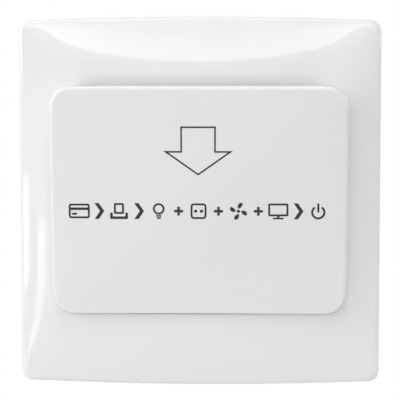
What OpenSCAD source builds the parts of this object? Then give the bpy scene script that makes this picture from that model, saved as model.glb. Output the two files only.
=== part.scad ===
// Hotel key card switch for a square wall box.
// A crowned plate with a wedge-shaped card pocket clips over a mounting frame.
// Behind the frame a card lever works a snap switch, and a timer board with a
// relay keeps the room's circuit on for a while after the card is taken out.
// Millimetres. X runs to the right, Y from the front into the wall, Z up.
// The wall's surface is the plane Y = 0. The origin is midway between the fixing holes.

/* [Plate] */
// Width of the plate
plate_w = 86; // [84:0.5:92]
// Height of the plate at its middle
plate_h = 88.2; // [86:0.2:94]
// Rise of the top and bottom edges at mid width
plate_bow = 1; // [0.4:0.1:1.6]
// Rounding of the plate's corners, seen from the front
plate_corner = 2.4; // [1.6:0.1:4]
// Rounding of the plate's front edge
plate_edge = 1.6; // [1:0.1:2]
// Height of the crown over the rim
crown_h = 2.5; // [2:0.1:3.2]
// Step from the pocket's floor back to the rim
rim_step = 0.5; // [0.2:0.1:0.8]
// Thickness of the side walls
side_wall = 2; // [1.6:0.1:2.6]
// Thickness of the pocket's floor
floor_t = 2; // [1.7:0.1:2.6]
// Gap between the rim and the wall
wall_gap = 0.2; // [0.1:0.1:0.4]
// Width of the notch for prising the plate off
notch_w = 12; // [8:1:20]

/* [Card pocket] */
// Width of the key card
card_w = 54; // [52:0.1:55]
// Room beside the card in its slot
card_play = 1.9; // [1:0.1:2.2]
// Width of the rails beside the card slot
rail_w = 5.95; // [5.4:0.05:6.6]
// Height of the panel
panel_h = 53.9; // [52:0.1:55]
// Height of the panel's middle over the fixing holes
panel_z = 0.7; // [0:0.1:1.6]
// Rounding of the panel's corners, seen from the front
panel_corner = 5.3; // [4:0.1:6]
// Rounding of the panel's front edge
panel_edge = 1; // [0.6:0.1:1.4]
// How far the panel's top stands off the pocket's floor
rise_top = 9; // [8.4:0.1:10]
// How far the panel's bottom stands off the pocket's floor
rise_bottom = 2.9; // [2.8:0.1:3.6]
// Thickness of the panel's front wall
panel_wall = 1.8; // [1.5:0.1:1.9]
// Height of the ramp that leads the card in
ramp_h = 2.5; // [1.5:0.1:3]
// Depth of the ramp at its foot, under the crown
ramp_d = 0.7; // [0.5:0.05:0.9]
// Height of the card stop over the panel's bottom edge
stop_h = 5.7; // [5:0.1:6.5]
// Seam between the panel and the plate
seam = 0.15; // [0.1:0.05:0.3]
// Seam below the panel
seam_bottom = 0.5; // [0.2:0.05:0.6]
// Height of the panel's screws over and under its middle
panel_screw_z = 18.5; // [16:0.5:20]

/* [Mounting frame] */
// Distance between the fixing holes
fixing_pitch = 60.3; // [60:0.1:61]
// Radius of the fixing holes
fixing_r = 2.1; // [1.9:0.05:2.3]
// Distance from a fixing hole to the frame's side
ear_margin = 6.85; // [6:0.05:8]
// Height of the frame
frame_h = 72; // [71:0.5:73]
// Thickness of the frame
frame_t = 2.2; // [2.1:0.1:2.6]
// Depth of the recess in the frame's rear that locates the housing
seat_d = 0.4; // [0.3:0.1:0.5]
// Thickness of the ears that the fixing screws hold
ear_t = 1.2; // [1:0.1:1.4]
// Radius of the pocket for a fixing screw's head
ear_r = 4.4; // [4.1:0.1:4.8]
// Room between the frame and the pocket's floor
head_room = 1.8; // [1.6:0.1:2.2]
// Distance of the plate's hooks from the middle
hook_x = 20; // [18:0.5:22]
// Width of a hook
hook_w = 8; // [6:0.5:10]
// How far a hook's barb reaches under the frame
barb = 0.5; // [0.3:0.05:0.6]

/* [Rear housing] */
// Width of the housing
housing_w = 52; // [51.4:0.1:52.4]
// Height of the housing
housing_h = 52; // [51.4:0.1:53]
// Room behind the relay, the deepest part on the board
housing_room = 1.2; // [0.8:0.1:3]
// Thickness of the housing's walls
housing_wall = 2; // [1.6:0.1:2.2]
// Distance of the housing's screws from the middle
housing_screw_x = 13; // [10:0.5:15]

/* [Timer board] */
// Room between the board and the housing's walls
board_gap = 1; // [0.6:0.1:1.3]
// Thickness of the board
board_t = 1.6; // [1.4:0.1:1.8]
// Distance of the board behind the wall's surface
board_y = 11; // [10.8:0.1:11.4]
// Distance of the board's posts from its edges
post_in = 3; // [2.8:0.1:3.4]
// Radius of a post
post_r = 2.6; // [2.2:0.1:2.8]
// Width of the relay
relay_w = 19; // [18:0.2:19.6]
// Height of the relay
relay_h = 15.4; // [14.6:0.2:16]
// Depth of the relay
relay_d = 15.2; // [14:0.2:15.8]
// Width of the supply capacitor
film_w = 18; // [16:0.2:18.6]
// Thickness of the supply capacitor
film_h = 8; // [7:0.2:8.4]
// Depth of the supply capacitor
film_d = 14; // [12:0.2:15]
// Radius of the smoothing capacitor
can_r = 4; // [3.5:0.1:4.2]
// Depth of the smoothing capacitor
can_d = 12; // [10:0.2:14]

/* [Terminals] */
// Number of terminals
terminal_count = 4; // [3:1:4]
// Distance between terminals
terminal_pitch = 9.6; // [9.2:0.1:9.8]
// Height of the terminal block
terminal_h = 12.4; // [12:0.1:12.6]
// Side of the square wire opening in a clamp
wire_hole = 3.8; // [3.4:0.1:4]

/* [Card lever] */
// Distance of the lever's pin behind the wall's surface
pivot_y = 5; // [4.8:0.1:5.2]
// Radius of the lever's pin
pin_r = 1; // [0.8:0.05:1.1]
// Running clearance of the lever on its pin
pin_fit = 0.05; // [0.03:0.01:0.1]
// Turn of the lever when the card is in
lever_turn = 14; // [12:0.5:14.5]
// Width of the lever's toe
toe_w = 16; // [14:0.5:16]
// Thickness of the lever's toe
toe_t = 1.6; // [1.4:0.1:1.8]
// Height of the toe over the card stop when no card is in
toe_rest = 3.1; // [2.9:0.1:3.4]
// How far the toe reaches past the pocket's floor
toe_reach = 1.6; // [1.2:0.1:1.7]
// Radius of the lever's hub
hub_r = 2.2; // [2:0.1:2.4]
// Radius of the nose that pushes the switch
nose_r = 1.2; // [1:0.1:1.3]
// Height of the nose over the pin
nose_z = 3.4; // [3.2:0.1:3.6]
// Diameter of the spring's wire
spring_wire = 0.5; // [0.4:0.05:0.55]
// Number of the spring's full curls
spring_curls = 4; // [3:1:4]

/* [Snap switch] */
// Length of the switch
switch_w = 19.8; // [19.4:0.1:20.4]
// Thickness of the switch
switch_t = 6.4; // [6.2:0.1:6.6]
// Height of the switch
switch_h = 10.2; // [9.8:0.1:10.8]
// Thickness of the switch's walls
switch_wall = 0.9; // [0.8:0.05:1]
// How far the plunger stands out of the switch
plunger_out = 1.6; // [1.4:0.1:1.8]
// Free travel between the lever's nose and the plunger
free_travel = 0.1; // [0.08:0.01:0.15]

/* [Hidden] */
$fn = 48;

// A cut reaches this far past the face it opens, and a root this far into its parent
over = 1;
root = 0.5;
// Clearance of a fixed piece in its hole, and of a strip in its slot
fit = 0.03;
slot_fit = 0.1;
// Clearance round a piece that drops into a larger opening
drop_fit = 0.2;

// Levels from the wall's surface forward
floor_rear = -frame_t - head_room;
floor_front = floor_rear - floor_t;
rim_y = floor_front + rim_step;
frame_front = -frame_t;

// The panel's own sizes and levels
slot_w = card_w + 2 * card_play;
panel_w = slot_w + 2 * rail_w;
panel_top = panel_z + panel_h / 2;
panel_bottom = panel_z - panel_h / 2;
panel_tilt = atan((rise_top - rise_bottom) / panel_h);
stop_z = panel_bottom + stop_h;
rail_x = (slot_w + panel_w) / 4;
panel_screw_head_r = 2;
panel_screw_head = 1.2;
panel_screw_r = 1;
panel_screw_end = floor_front - 2;
panel_screw_at = [for (sx = [-1, 1], sz = [-1, 1]) [sx * rail_x, panel_z + sz * panel_screw_z]];

// Catches between the plate and the frame
frame_w = fixing_pitch + 2 * ear_margin;
hook_gap = 0.4;
hook_t = 1.6;
barb_t = 0.8;
lip_t = 0.9;
catch_gap = 0.1;
pad_r = 2.4;
pad_x = 29;
pad_z = frame_h / 2 - 5;
rib_h = 0.6;
rib_t = 2;

// Housing screws
housing_screw_r = 1.2;
housing_screw_l = 7;
housing_head_r = 2.3;
housing_head = 1.2;
housing_boss_r = 3;
housing_boss_l = 9;
housing_screw_z = housing_h / 2 + housing_boss_r;
housing_screw_at = [for (sx = [-1, 1], sz = [-1, 1]) [sx * housing_screw_x, sz * housing_screw_z]];

// Terminal block, flush with the housing's rear and underside
board_rear = board_y + board_t;
housing_d = board_rear + relay_d + housing_room + housing_wall;
terminal_w = terminal_count * terminal_pitch + 1.6;
terminal_z0 = -housing_h / 2;
terminal_z1 = terminal_z0 + terminal_h;
clamp_wall = 1.6;
clamp_w = wire_hole + 2.4;
clamp_h = 7.4;
clamp_z0 = terminal_z0 + 2.4;
clamp_y1 = housing_d - 5;
clamp_y0 = clamp_y1 - wire_hole - clamp_wall - 2.2;
clamp_hole_y = clamp_y0 + clamp_wall;
clamp_screw_r = 1.4;
clamp_head_r = 2.2;
clamp_head = 2;
clamp_head_gap = 0.4;
clamp_slot = 0.8;
clamp_screw_z = clamp_z0 + clamp_h / 2;
tail_w = 1.2;
tail_t = 0.8;
tail_out = 0.8;
terminal_x = [for (i = [0 : terminal_count - 1]) (i - (terminal_count - 1) / 2) * terminal_pitch];

// Lever, toe and spring
toe_tip = floor_front - toe_reach;
toe_top = stop_z + toe_rest;
lever_z = toe_top - toe_t / 2;
lever_reach = pivot_y - toe_tip;
hub_w = toe_w + 1.2;
lug_gap = 0.3;
lug_t = 2.5;
lug_h = 5;
lug_y = pivot_y + 3;
pin_head_r = 1.7;
pin_head = 0.8;
window_w = toe_w + 1;
rest_gap = 0.05;
frame_reach = pivot_y - frame_front;
window_bottom = lever_z - frame_reach * sin(lever_turn) - toe_t / 2 * cos(lever_turn) - 0.1;
plate_window_top = toe_top + 1.5;
plate_window_bottom = lever_z - lever_reach * sin(lever_turn) - toe_t / 2 - 1;
toe_room = 0.5;
spring_gap = 5.8;
spring_r = pin_r + spring_wire / 2 + 0.3;
spring_w = spring_gap - 1.5;
spring_turn = 360 * spring_curls + 90;
spring_flat = spring_wire / 2 * cos(30);
spring_pitch = 360 * spring_w / spring_turn;
spring_leg_up = 4.6;
spring_leg_out = 5;

// Snap switch
switch_x = -3;
plunger_x = -5.7;
plunger_y = board_y - switch_t / 2;
plunger_w = 2.6;
plunger_t = switch_t - 3.4;
plunger_tip = lever_z + nose_z + nose_r + free_travel;
switch_z0 = plunger_tip + plunger_out;
switch_z1 = switch_z0 + switch_h;
switch_y0 = board_y - switch_t;
lid_y = board_y - switch_wall;
nose_y = plunger_y - pivot_y + 0.45;
nose_rise = nose_y * sin(lever_turn) - nose_z * (1 - cos(lever_turn));
flange = 0.7;
flange_t = 0.8;
nub_t = 0.4;
blade_gap = 0.05;
blade_t = 0.3;
blade_w = 2.4;
blade_z = switch_z0 + switch_wall + flange_t + nub_t + blade_gap;
blade_pivot_x = switch_x + switch_w / 2 - switch_wall - 1.2;
blade_end_x = switch_x - switch_w / 2 + switch_wall + 1.4;
blade_over = 1;
blade_rise = nose_rise * (blade_pivot_x - blade_end_x) / (blade_pivot_x - plunger_x);
dot_r = 0.9;
dot_t = 0.35;
strip_w = 2.2;
strip_t = 0.5;
strip_end = board_rear + 1.4;
strip_start = plunger_y - 1.4;
contact_gap = 0.02;
strip_at = [
    [blade_end_x, blade_z - dot_t - contact_gap - strip_t],
    [blade_end_x, blade_z + blade_t + dot_t + blade_rise + 0.06],
    [blade_pivot_x, blade_z - blade_gap - strip_t]
];

// Board and what stands on it
board_w = housing_w - 2 * housing_wall - 2 * board_gap;
board_h = housing_h - 2 * housing_wall - 2 * board_gap;
board_screw_r = 1.1;
board_screw_l = 6;
board_head_r = 2.1;
board_head = 1.5;
post_x = board_w / 2 - post_in;
post_top = board_h / 2 - post_in;
post_low = terminal_z1 + board_head_r + 1.1;
board_screw_at = [for (sx = [-1, 1], z = [post_low, post_top]) [sx * post_x, z]];
row_gap = 1.4;
leg_in = 0.5;
leg_w = 0.8;
relay_x0 = -board_w / 2 + 3.4;
relay_z0 = max(strip_at[1][1] + strip_t + 1.2, post_low + board_head_r + 0.6);
relay_base = 1.2;
row_z = relay_z0 + relay_h + row_gap;
film_x0 = -6.6;
fuse_r = 3.8;
fuse_d = 7;
fuse_foot = 0.6;
fuse_x = film_x0 - row_gap - fuse_r;
fuse_z = row_z + fuse_r + 0.4;
varistor_r = 4.4;
varistor_t = 3.4;
varistor_x = film_x0 + film_w + row_gap + varistor_t / 2;
varistor_z = row_z + varistor_r;
can_x = relay_x0 + relay_w + row_gap + can_r;
can_z = relay_z0 + relay_h - can_r - 1.4;
bridge_w = 6.4;
bridge_h = 8.4;
bridge_d = 3;
bridge_x = can_x + can_r + row_gap + leg_in + bridge_w / 2;
bridge_z = relay_z0 + bridge_h / 2;
chip_w = 5;
chip_h = 6;
chip_d = 2;
chip_x = bridge_x;
chip_z = bridge_z + bridge_h / 2 + 0.6 + chip_h / 2;
resistor_r = 1.7;
resistor_w = 8;
resistor_lead = 0.35;
resistor_reach = resistor_w / 2 + 1.4;
resistor_x = blade_pivot_x + 6.8;
resistor_z = relay_z0 - resistor_r - 0.6;
resistor_lift = 2.4;

echo(str("Least gap between the spring's curls: ", spring_pitch - spring_wire, " mm"));

// Cuboid between two opposite corners
module block(low, high) {
    translate(low)
        cube(high - low);
}

// Round rod along X, along Y or along Z
module rod_x(y, z, r, x0, x1) {
    translate([x0, y, z])
        rotate([0, 90, 0])
            cylinder(r = r, h = x1 - x0);
}

module rod_y(x, z, r, y0, y1) {
    translate([x, y1, z])
        rotate([90, 0, 0])
            cylinder(r = r, h = y1 - y0);
}

// Front outline in X and Z, given depth from y0 to y1
module slab(y0, y1) {
    translate([0, y1, 0])
        rotate([90, 0, 0])
            linear_extrude(y1 - y0)
                children();
}

// Side outline in Y and Z, given width from x0 to x1
module profile(x0, x1) {
    translate([x0, 0, 0])
        rotate([90, 0, 90])
            linear_extrude(x1 - x0)
                children();
}

function corner_at(k, w, h, r) = [(k == 1 || k == 2 ? -1 : 1) * (w / 2 - r), (k < 2 ? 1 : -1) * (h / 2 - r)];

function turned(a) = [cos(a), sin(a)];

// Points of a rectangle with round corners, with edge_n steps along each side
function rounded(w, h, r, edge_n = 1, arc_n = 6) = [
    for (k = [0 : 3])
        let (
            start = corner_at(k, w, h, r),
            next = corner_at((k + 1) % 4, w, h, r),
            out = r * turned(90 * (k + 1))
        )
            each concat(
                [for (i = [0 : arc_n]) start + r * turned(90 * (k + i / arc_n))],
                [for (j = [1 : 1 : edge_n - 1]) out + start + (next - start) * j / edge_n]
            )
];

// Screw with a cross-recessed head, its axis along Z and the head's underside at 0
module cross_screw(head_r, head_h, shank_r, shank_l) {
    difference() {
        union() {
            cylinder(r = head_r, h = head_h);
            translate([0, 0, -shank_l])
                cylinder(r = shank_r, h = shank_l + root);
        }
        for (a = [0, 90])
            rotate(a)
                translate([-0.62 * head_r, -0.14 * head_r, 0.35 * head_h])
                    cube([1.24 * head_r, 0.28 * head_r, head_h]);
    }
}

// Crown of the plate: highest in the middle, nothing along the outline
function bow(p) = [p[0], p[1] * (1 - 2 * plate_bow / plate_h * pow(2 * p[0] / plate_w, 2))];

function crown(p) =
    let (
        u = min(1, abs(2 * p[0] / plate_w)),
        v = min(1, abs(p[1]) / (plate_h / 2 - plate_bow * u * u))
    )
        crown_h * (1 - pow(u, 4)) * (1 - pow(v, 4));

plate_outline = rounded(plate_w, plate_h, plate_corner, 12, 5);
plate_steps = [30, 60, 90];
plate_scales = [0.9, 0.82, 0.74, 0.64, 0.5, 0.25];

function plate_ring(inset, y) = [
    for (p = plate_outline)
        let (q = bow([p[0] * (1 - 2 * inset / plate_w), p[1] * (1 - 2 * inset / plate_h)]))
            [q[0], y - crown(q), q[1]]
];

function plate_rings() = concat(
    [[for (p = plate_outline) let (q = bow(p)) [q[0], -wall_gap, q[1]]]],
    [plate_ring(0, rim_y + plate_edge)],
    [for (a = plate_steps) plate_ring(plate_edge * (1 - cos(a)), rim_y + plate_edge * (1 - sin(a)))],
    [
        for (s = plate_scales)
            [for (p = plate_outline) let (q = bow(p * s)) [q[0], rim_y - crown(q), q[1]]]
    ]
);

// Solid body of the plate, as rings from the rim's rear to the middle of the crown
module plate_body() {
    rings = plate_rings();
    n = len(plate_outline);
    last = len(rings) - 1;
    rear = n * len(rings);
    points = concat([for (ring = rings) each ring], [[0, -wall_gap, 0], [0, rim_y - crown_h, 0]]);
    faces = concat(
        [for (i = [0 : n - 1]) [rear, i, (i + 1) % n]],
        [
            for (k = [0 : last - 1], i = [0 : n - 1])
                each [
                    [k * n + i, (k + 1) * n + i, (k + 1) * n + (i + 1) % n],
                    [k * n + i, (k + 1) * n + (i + 1) % n, k * n + (i + 1) % n]
                ]
        ],
        [for (i = [0 : n - 1]) [rear + 1, last * n + (i + 1) % n, last * n + i]]
    );
    polyhedron(points = points, faces = faces);
}

// Hook that snaps over the frame's edge, at the top for sz = 1 and at the bottom for sz = -1
module hook(sx, sz) {
    arm = frame_h / 2 + hook_gap;
    tip = frame_front + lip_t + catch_gap;
    translate([sx * hook_x, 0, 0])
        mirror([0, 0, sz < 0 ? 1 : 0])
            union() {
                block([-hook_w / 2, floor_rear - root, arm], [hook_w / 2, tip + barb_t, arm + hook_t]);
                block([-hook_w / 2, tip, arm - hook_gap - barb], [hook_w / 2, tip + barb_t, arm + root]);
            }
}

module front_plate() {
    inner_w = plate_w - 2 * side_wall;
    inner_h = plate_h - 2 * plate_bow - 2 * side_wall;
    recess_h = panel_h + seam + seam_bottom;
    ramp_foot = [rim_y - crown([0, panel_top]) + ramp_d, panel_top];
    ramp_crest = [rim_y - crown([0, panel_top + ramp_h]), panel_top + ramp_h];
    color("white")
        difference() {
            union() {
                difference() {
                    plate_body();
                    slab(floor_rear, over)
                        polygon(rounded(inner_w, inner_h, plate_corner));
                }
                for (sx = [-1, 1], sz = [-1, 1]) {
                    hook(sx, sz);
                    rod_y(sx * pad_x, sz * pad_z, pad_r, floor_rear - root, frame_front);
                }
            }
            translate([0, 0, panel_z + (seam - seam_bottom) / 2])
                slab(floor_front - 20, floor_front)
                    polygon(rounded(panel_w + 2 * seam, recess_h, panel_corner + seam));
            profile(-slot_w / 2, slot_w / 2)
                polygon([
                    ramp_foot - [0, over],
                    ramp_foot,
                    ramp_foot + 1.2 * (ramp_crest - ramp_foot),
                    [floor_front - 20, panel_top + 1.2 * ramp_h],
                    [floor_front - 20, panel_top - over]
                ]);
            block(
                [-window_w / 2, floor_front - over, plate_window_bottom],
                [window_w / 2, floor_rear + over, plate_window_top]
            );
            for (p = panel_screw_at)
                rod_y(p[0], p[1], panel_screw_r + fit, floor_front - over, floor_rear + over);
            block([-notch_w / 2, -1.6, -plate_h], [notch_w / 2, over, -inner_h / 2 + root]);
        }
}

// Front of the panel at a height, and the same moved back by the wall's thickness
function panel_front(z) = floor_front - rise_bottom - (z - panel_bottom) * tan(panel_tilt);

function panel_inside(z) = panel_front(z) + panel_wall / cos(panel_tilt);

// Solid wedge with a rounded front edge
module panel_body() {
    hull()
        for (sx = [-1, 1], sz = [-1, 1])
            translate([sx * (panel_w / 2 - panel_corner), 0, panel_z + sz * (panel_h / 2 - panel_corner)]) {
                front = panel_front(panel_z + sz * (panel_h / 2 - panel_corner));
                translate([0, front, 0])
                    rotate([90 + panel_tilt, 0, 0])
                        translate([0, 0, -panel_edge])
                            rotate_extrude($fn = 32)
                                translate([panel_corner - panel_edge, 0])
                                    circle(panel_edge, $fn = 24);
                rod_y(0, 0, panel_corner, floor_front - 0.6, floor_front, $fn = 32);
            }
}

module pocket_panel() {
    deep = plate_window_bottom + 0.4;
    color("white")
        difference() {
            panel_body();
            profile(-slot_w / 2, slot_w / 2)
                polygon([
                    [floor_front + over, stop_z],
                    [panel_inside(stop_z), stop_z],
                    [panel_inside(panel_top + over), panel_top + over],
                    [floor_front + over, panel_top + over]
                ]);
            profile(-window_w / 2, window_w / 2)
                polygon([
                    [floor_front + over, deep],
                    [panel_inside(deep), deep],
                    [panel_inside(stop_z + over), stop_z + over],
                    [floor_front + over, stop_z + over]
                ]);
            for (p = panel_screw_at)
                rod_y(p[0], p[1], panel_screw_r + fit, panel_screw_end - 0.3, floor_front + over);
        }
}

module panel_screws() {
    color("silver")
        for (p = panel_screw_at)
            translate([p[0], floor_rear, p[1]])
                rotate([-90, 0, 0])
                    cross_screw(
                        panel_screw_head_r, panel_screw_head, panel_screw_r, floor_rear - panel_screw_end
                    );
}

module mounting_frame() {
    lug_x = hub_w / 2 + lug_gap;
    rest_z = lever_z + hub_r + 0.7;
    rest_x = -spring_w / 2;
    color("gainsboro")
        difference() {
            union() {
                difference() {
                    slab(frame_front, 0)
                        polygon(rounded(frame_w, frame_h, 4));
                    slab(-seat_d, over)
                        housing_outline(drop_fit);
                }
                slab(frame_front - rib_h, frame_front + root)
                    difference() {
                        polygon(rounded(housing_w - 2, housing_h - 2, 3));
                        polygon(rounded(housing_w - 2 - 2 * rib_t, housing_h - 2 - 2 * rib_t, 2));
                    }
                for (p = board_screw_at)
                    rod_y(p[0], p[1], post_r, -seat_d - root, board_y);
                for (sx = [-1, 1])
                    translate([sx * (lug_x + lug_t / 2), 0, lever_z])
                        block([-lug_t / 2, -seat_d - root, -lug_h / 2], [lug_t / 2, lug_y, lug_h / 2]);
                block(
                    [rest_x - 0.7, -seat_d - root, rest_z],
                    [rest_x + 0.7, pivot_y + spring_r - spring_flat, rest_z + 1.5]
                );
            }
            for (sx = [-1, 1]) {
                rod_y(sx * fixing_pitch / 2, 0, fixing_r, frame_front - over, over);
                rod_y(sx * fixing_pitch / 2, 0, ear_r, frame_front - over, -ear_t);
            }
            block(
                [-window_w / 2, frame_front - over, window_bottom],
                [window_w / 2, over, toe_top + rest_gap]
            );
            for (sx = [-1, 1], sz = [-1, 1])
                translate([sx * hook_x, 0, 0])
                    mirror([0, 0, sz < 0 ? 1 : 0])
                        block(
                            [-hook_w / 2 - 0.5, frame_front + lip_t, frame_h / 2 - barb - 0.6],
                            [hook_w / 2 + 0.5, over, frame_h / 2 + over]
                        );
            for (p = housing_screw_at) {
                rod_y(p[0], p[1], housing_screw_r + fit, frame_front - over, over);
                translate([p[0], frame_front, p[1]])
                    rotate([-90, 0, 0])
                        cylinder(r1 = housing_head_r + fit, r2 = housing_screw_r + fit, h = housing_head);
            }
            for (p = board_screw_at)
                rod_y(p[0], p[1], board_screw_r + fit, board_rear - board_screw_l - 1.2, board_y + over);
            rod_x(pivot_y, lever_z, pin_r + fit, -frame_w / 2, frame_w / 2);
        }
}

// Outline of the housing with the bosses for its screws, made larger all round by grow
module housing_outline(grow) {
    reach = housing_boss_r + grow;
    polygon(rounded(housing_w + 2 * grow, housing_h + 2 * grow, 3 + grow));
    for (p = housing_screw_at)
        translate(p)
            union() {
                circle(reach);
                translate([-reach, p[1] > 0 ? -housing_boss_r - root : 0])
                    square([2 * reach, housing_boss_r + root]);
            }
}

module rear_housing() {
    inner_w = housing_w - 2 * housing_wall;
    inner_h = housing_h - 2 * housing_wall;
    color("whitesmoke")
        difference() {
            union() {
                slab(-seat_d, housing_d)
                    polygon(rounded(housing_w, housing_h, 3));
                slab(-seat_d, housing_boss_l)
                    housing_outline(0);
            }
            slab(-over, housing_d - housing_wall)
                polygon(rounded(inner_w, inner_h, 1.5));
            for (p = housing_screw_at)
                rod_y(p[0], p[1], housing_screw_r + fit, -over, housing_screw_l);
            block(
                [-terminal_w / 2 - drop_fit, board_rear - drop_fit, -housing_h],
                [terminal_w / 2 + drop_fit, housing_d + over, terminal_z1 + drop_fit]
            );
            for (i = [-2 : 2])
                block([i * 7 - 2.4, 18, inner_h / 2 - over], [i * 7 + 2.4, 19.6, housing_h]);
        }
}

module housing_screws() {
    color("silver")
        for (p = housing_screw_at)
            translate([p[0], frame_front, p[1]])
                rotate([-90, 0, 0])
                    difference() {
                        union() {
                            cylinder(r1 = housing_head_r, r2 = housing_screw_r, h = housing_head);
                            translate([0, 0, housing_head - 0.1])
                                cylinder(r = housing_screw_r, h = frame_t + housing_screw_l - housing_head - 0.4);
                        }
                        for (a = [0, 90])
                            rotate(a)
                                translate([-1.3, -0.3, -over])
                                    cube([2.6, 0.6, over + 0.6]);
                    }
}

module circuit_board() {
    color("seagreen")
        difference() {
            slab(board_y, board_rear)
                polygon(rounded(board_w, board_h, 1.5));
            for (p = board_screw_at)
                rod_y(p[0], p[1], board_screw_r + fit, board_y - over, board_rear + over);
            for (x = terminal_x)
                block(
                    [x - tail_w / 2 - slot_fit, board_y - over, clamp_screw_z - tail_t / 2 - slot_fit],
                    [x + tail_w / 2 + slot_fit, board_rear + over, clamp_screw_z + tail_t / 2 + slot_fit]
                );
            strip_slots(board_y - over, board_rear + over);
            for (s = [-1, 1])
                rod_y(
                    resistor_x + s * resistor_reach, resistor_z,
                    resistor_lead + fit, board_y - over, board_rear + over
                );
        }
}

module board_screws() {
    color("silver")
        for (p = board_screw_at)
            translate([p[0], board_rear, p[1]])
                rotate([-90, 0, 0])
                    cross_screw(board_head_r, board_head, board_screw_r, board_screw_l);
}

module power_relay() {
    color("royalblue")
        union() {
            translate([relay_x0 + relay_w / 2, 0, relay_z0 + relay_h / 2]) {
                slab(board_rear, board_rear + relay_base)
                    polygon(rounded(relay_w, relay_h, 0.4));
                slab(board_rear + relay_base, board_rear + relay_d)
                    polygon(rounded(relay_w - 0.5, relay_h - 0.5, 0.8));
            }
        }
}

module supply_capacitor() {
    color("goldenrod")
        translate([film_x0 + film_w / 2, 0, row_z + film_h / 2])
            difference() {
                slab(board_rear, board_rear + film_d)
                    polygon(rounded(film_w, film_h, 0.8));
                block([-film_w / 2 + 1.2, board_rear - over, -film_h], [film_w / 2 - 1.2, board_rear + 0.5, film_h]);
            }
}

module smoothing_capacitor() {
    color("midnightblue")
        difference() {
            union() {
                rod_y(can_x, can_z, can_r, board_rear, board_rear + 1.2);
                rod_y(can_x, can_z, can_r - 0.3, board_rear + 1, board_rear + 2);
                rod_y(can_x, can_z, can_r, board_rear + 1.8, board_rear + can_d);
            }
            for (a = [0, 90])
                translate([can_x, board_rear + can_d, can_z])
                    rotate([0, a, 0])
                        block([-0.75 * can_r, -0.3, -0.15], [0.75 * can_r, over, 0.15]);
        }
}

// Moulded body with a row of legs on its left and right sides
module legged_body(w, h, d, legs, pitch) {
    slab(board_rear + 0.3, board_rear + d)
        polygon(rounded(w, h, 0.3));
    for (i = [0 : legs - 1], sx = [-1, 1])
        translate([sx * w / 2, 0, (i - (legs - 1) / 2) * pitch])
            block([-leg_in, board_rear, -leg_w / 2], [leg_in, board_rear + d / 2, leg_w / 2]);
}

module bridge_rectifier() {
    color("dimgray")
        translate([bridge_x, 0, bridge_z])
            legged_body(bridge_w, bridge_h, bridge_d, 2, 5);
}

module varistor() {
    color("steelblue")
        union() {
            rod_x(
                board_rear + varistor_r + 1.4, varistor_z, varistor_r,
                varistor_x - varistor_t / 2, varistor_x + varistor_t / 2
            );
            for (s = [-1, 1])
                rod_y(varistor_x, varistor_z + s * 2, 0.35, board_rear, board_rear + varistor_r);
        }
}

module dropper_resistor() {
    axis_y = board_rear + resistor_lift;
    color("burlywood")
        union() {
            rod_x(axis_y, resistor_z, resistor_r - 0.3, resistor_x - resistor_w / 2, resistor_x + resistor_w / 2);
            for (s = [-1, 1]) {
                translate([resistor_x + s * (resistor_w / 2 - 1), 0, 0])
                    rod_x(axis_y, resistor_z, resistor_r, -1, 1);
                rod_y(resistor_x + s * resistor_reach, resistor_z, resistor_lead, board_y, axis_y + resistor_lead);
            }
            rod_x(axis_y, resistor_z, resistor_lead - 0.02, resistor_x - resistor_reach, resistor_x + resistor_reach);
        }
}

module timer_chip() {
    color("darkslategray")
        difference() {
            translate([chip_x, 0, chip_z])
                legged_body(chip_w, chip_h, chip_d, 4, 1.4);
            rod_y(chip_x, chip_z + chip_h / 2, leg_w, board_rear + 0.8 * chip_d, board_rear + chip_d + over);
        }
}

module fuse() {
    color("saddlebrown")
        union() {
            rod_y(fuse_x, fuse_z, fuse_r, board_rear + fuse_foot, board_rear + fuse_foot + fuse_d);
            rod_y(fuse_x, fuse_z, fuse_r - 0.8, board_rear, board_rear + 2 * fuse_foot + fuse_d);
        }
}

module terminal_block() {
    color("lightgray")
        difference() {
            block([-terminal_w / 2, board_rear, terminal_z0], [terminal_w / 2, housing_d, terminal_z1]);
            for (x = terminal_x)
                translate([x, 0, 0]) {
                    block(
                        [-clamp_w / 2 - slot_fit, clamp_y0, terminal_z0 - over],
                        [clamp_w / 2 + slot_fit, clamp_y1, clamp_z0 + clamp_h + slot_fit]
                    );
                    rod_y(0, clamp_screw_z, clamp_head_r + 0.15, clamp_y1 - root, housing_d + over);
                    block(
                        [-tail_w / 2 - slot_fit, board_rear - over, clamp_screw_z - tail_t / 2 - slot_fit],
                        [tail_w / 2 + slot_fit, clamp_y0 + root, clamp_screw_z + tail_t / 2 + slot_fit]
                    );
                }
        }
}

module terminal_clamps() {
    color("gold")
        for (x = terminal_x)
            translate([x, 0, 0])
                difference() {
                    union() {
                        block([-clamp_w / 2, clamp_y0, clamp_z0], [clamp_w / 2, clamp_y1, clamp_z0 + clamp_h]);
                        block(
                            [-tail_w / 2, board_y - tail_out, clamp_screw_z - tail_t / 2],
                            [tail_w / 2, clamp_y0 + root, clamp_screw_z + tail_t / 2]
                        );
                    }
                    block(
                        [-wire_hole / 2, clamp_hole_y, clamp_z0 - over],
                        [wire_hole / 2, clamp_hole_y + wire_hole, clamp_z0 + clamp_h - clamp_wall / 2]
                    );
                    rod_y(0, clamp_screw_z, clamp_screw_r + fit, clamp_hole_y + wire_hole - root, clamp_y1 + over);
                }
}

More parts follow.
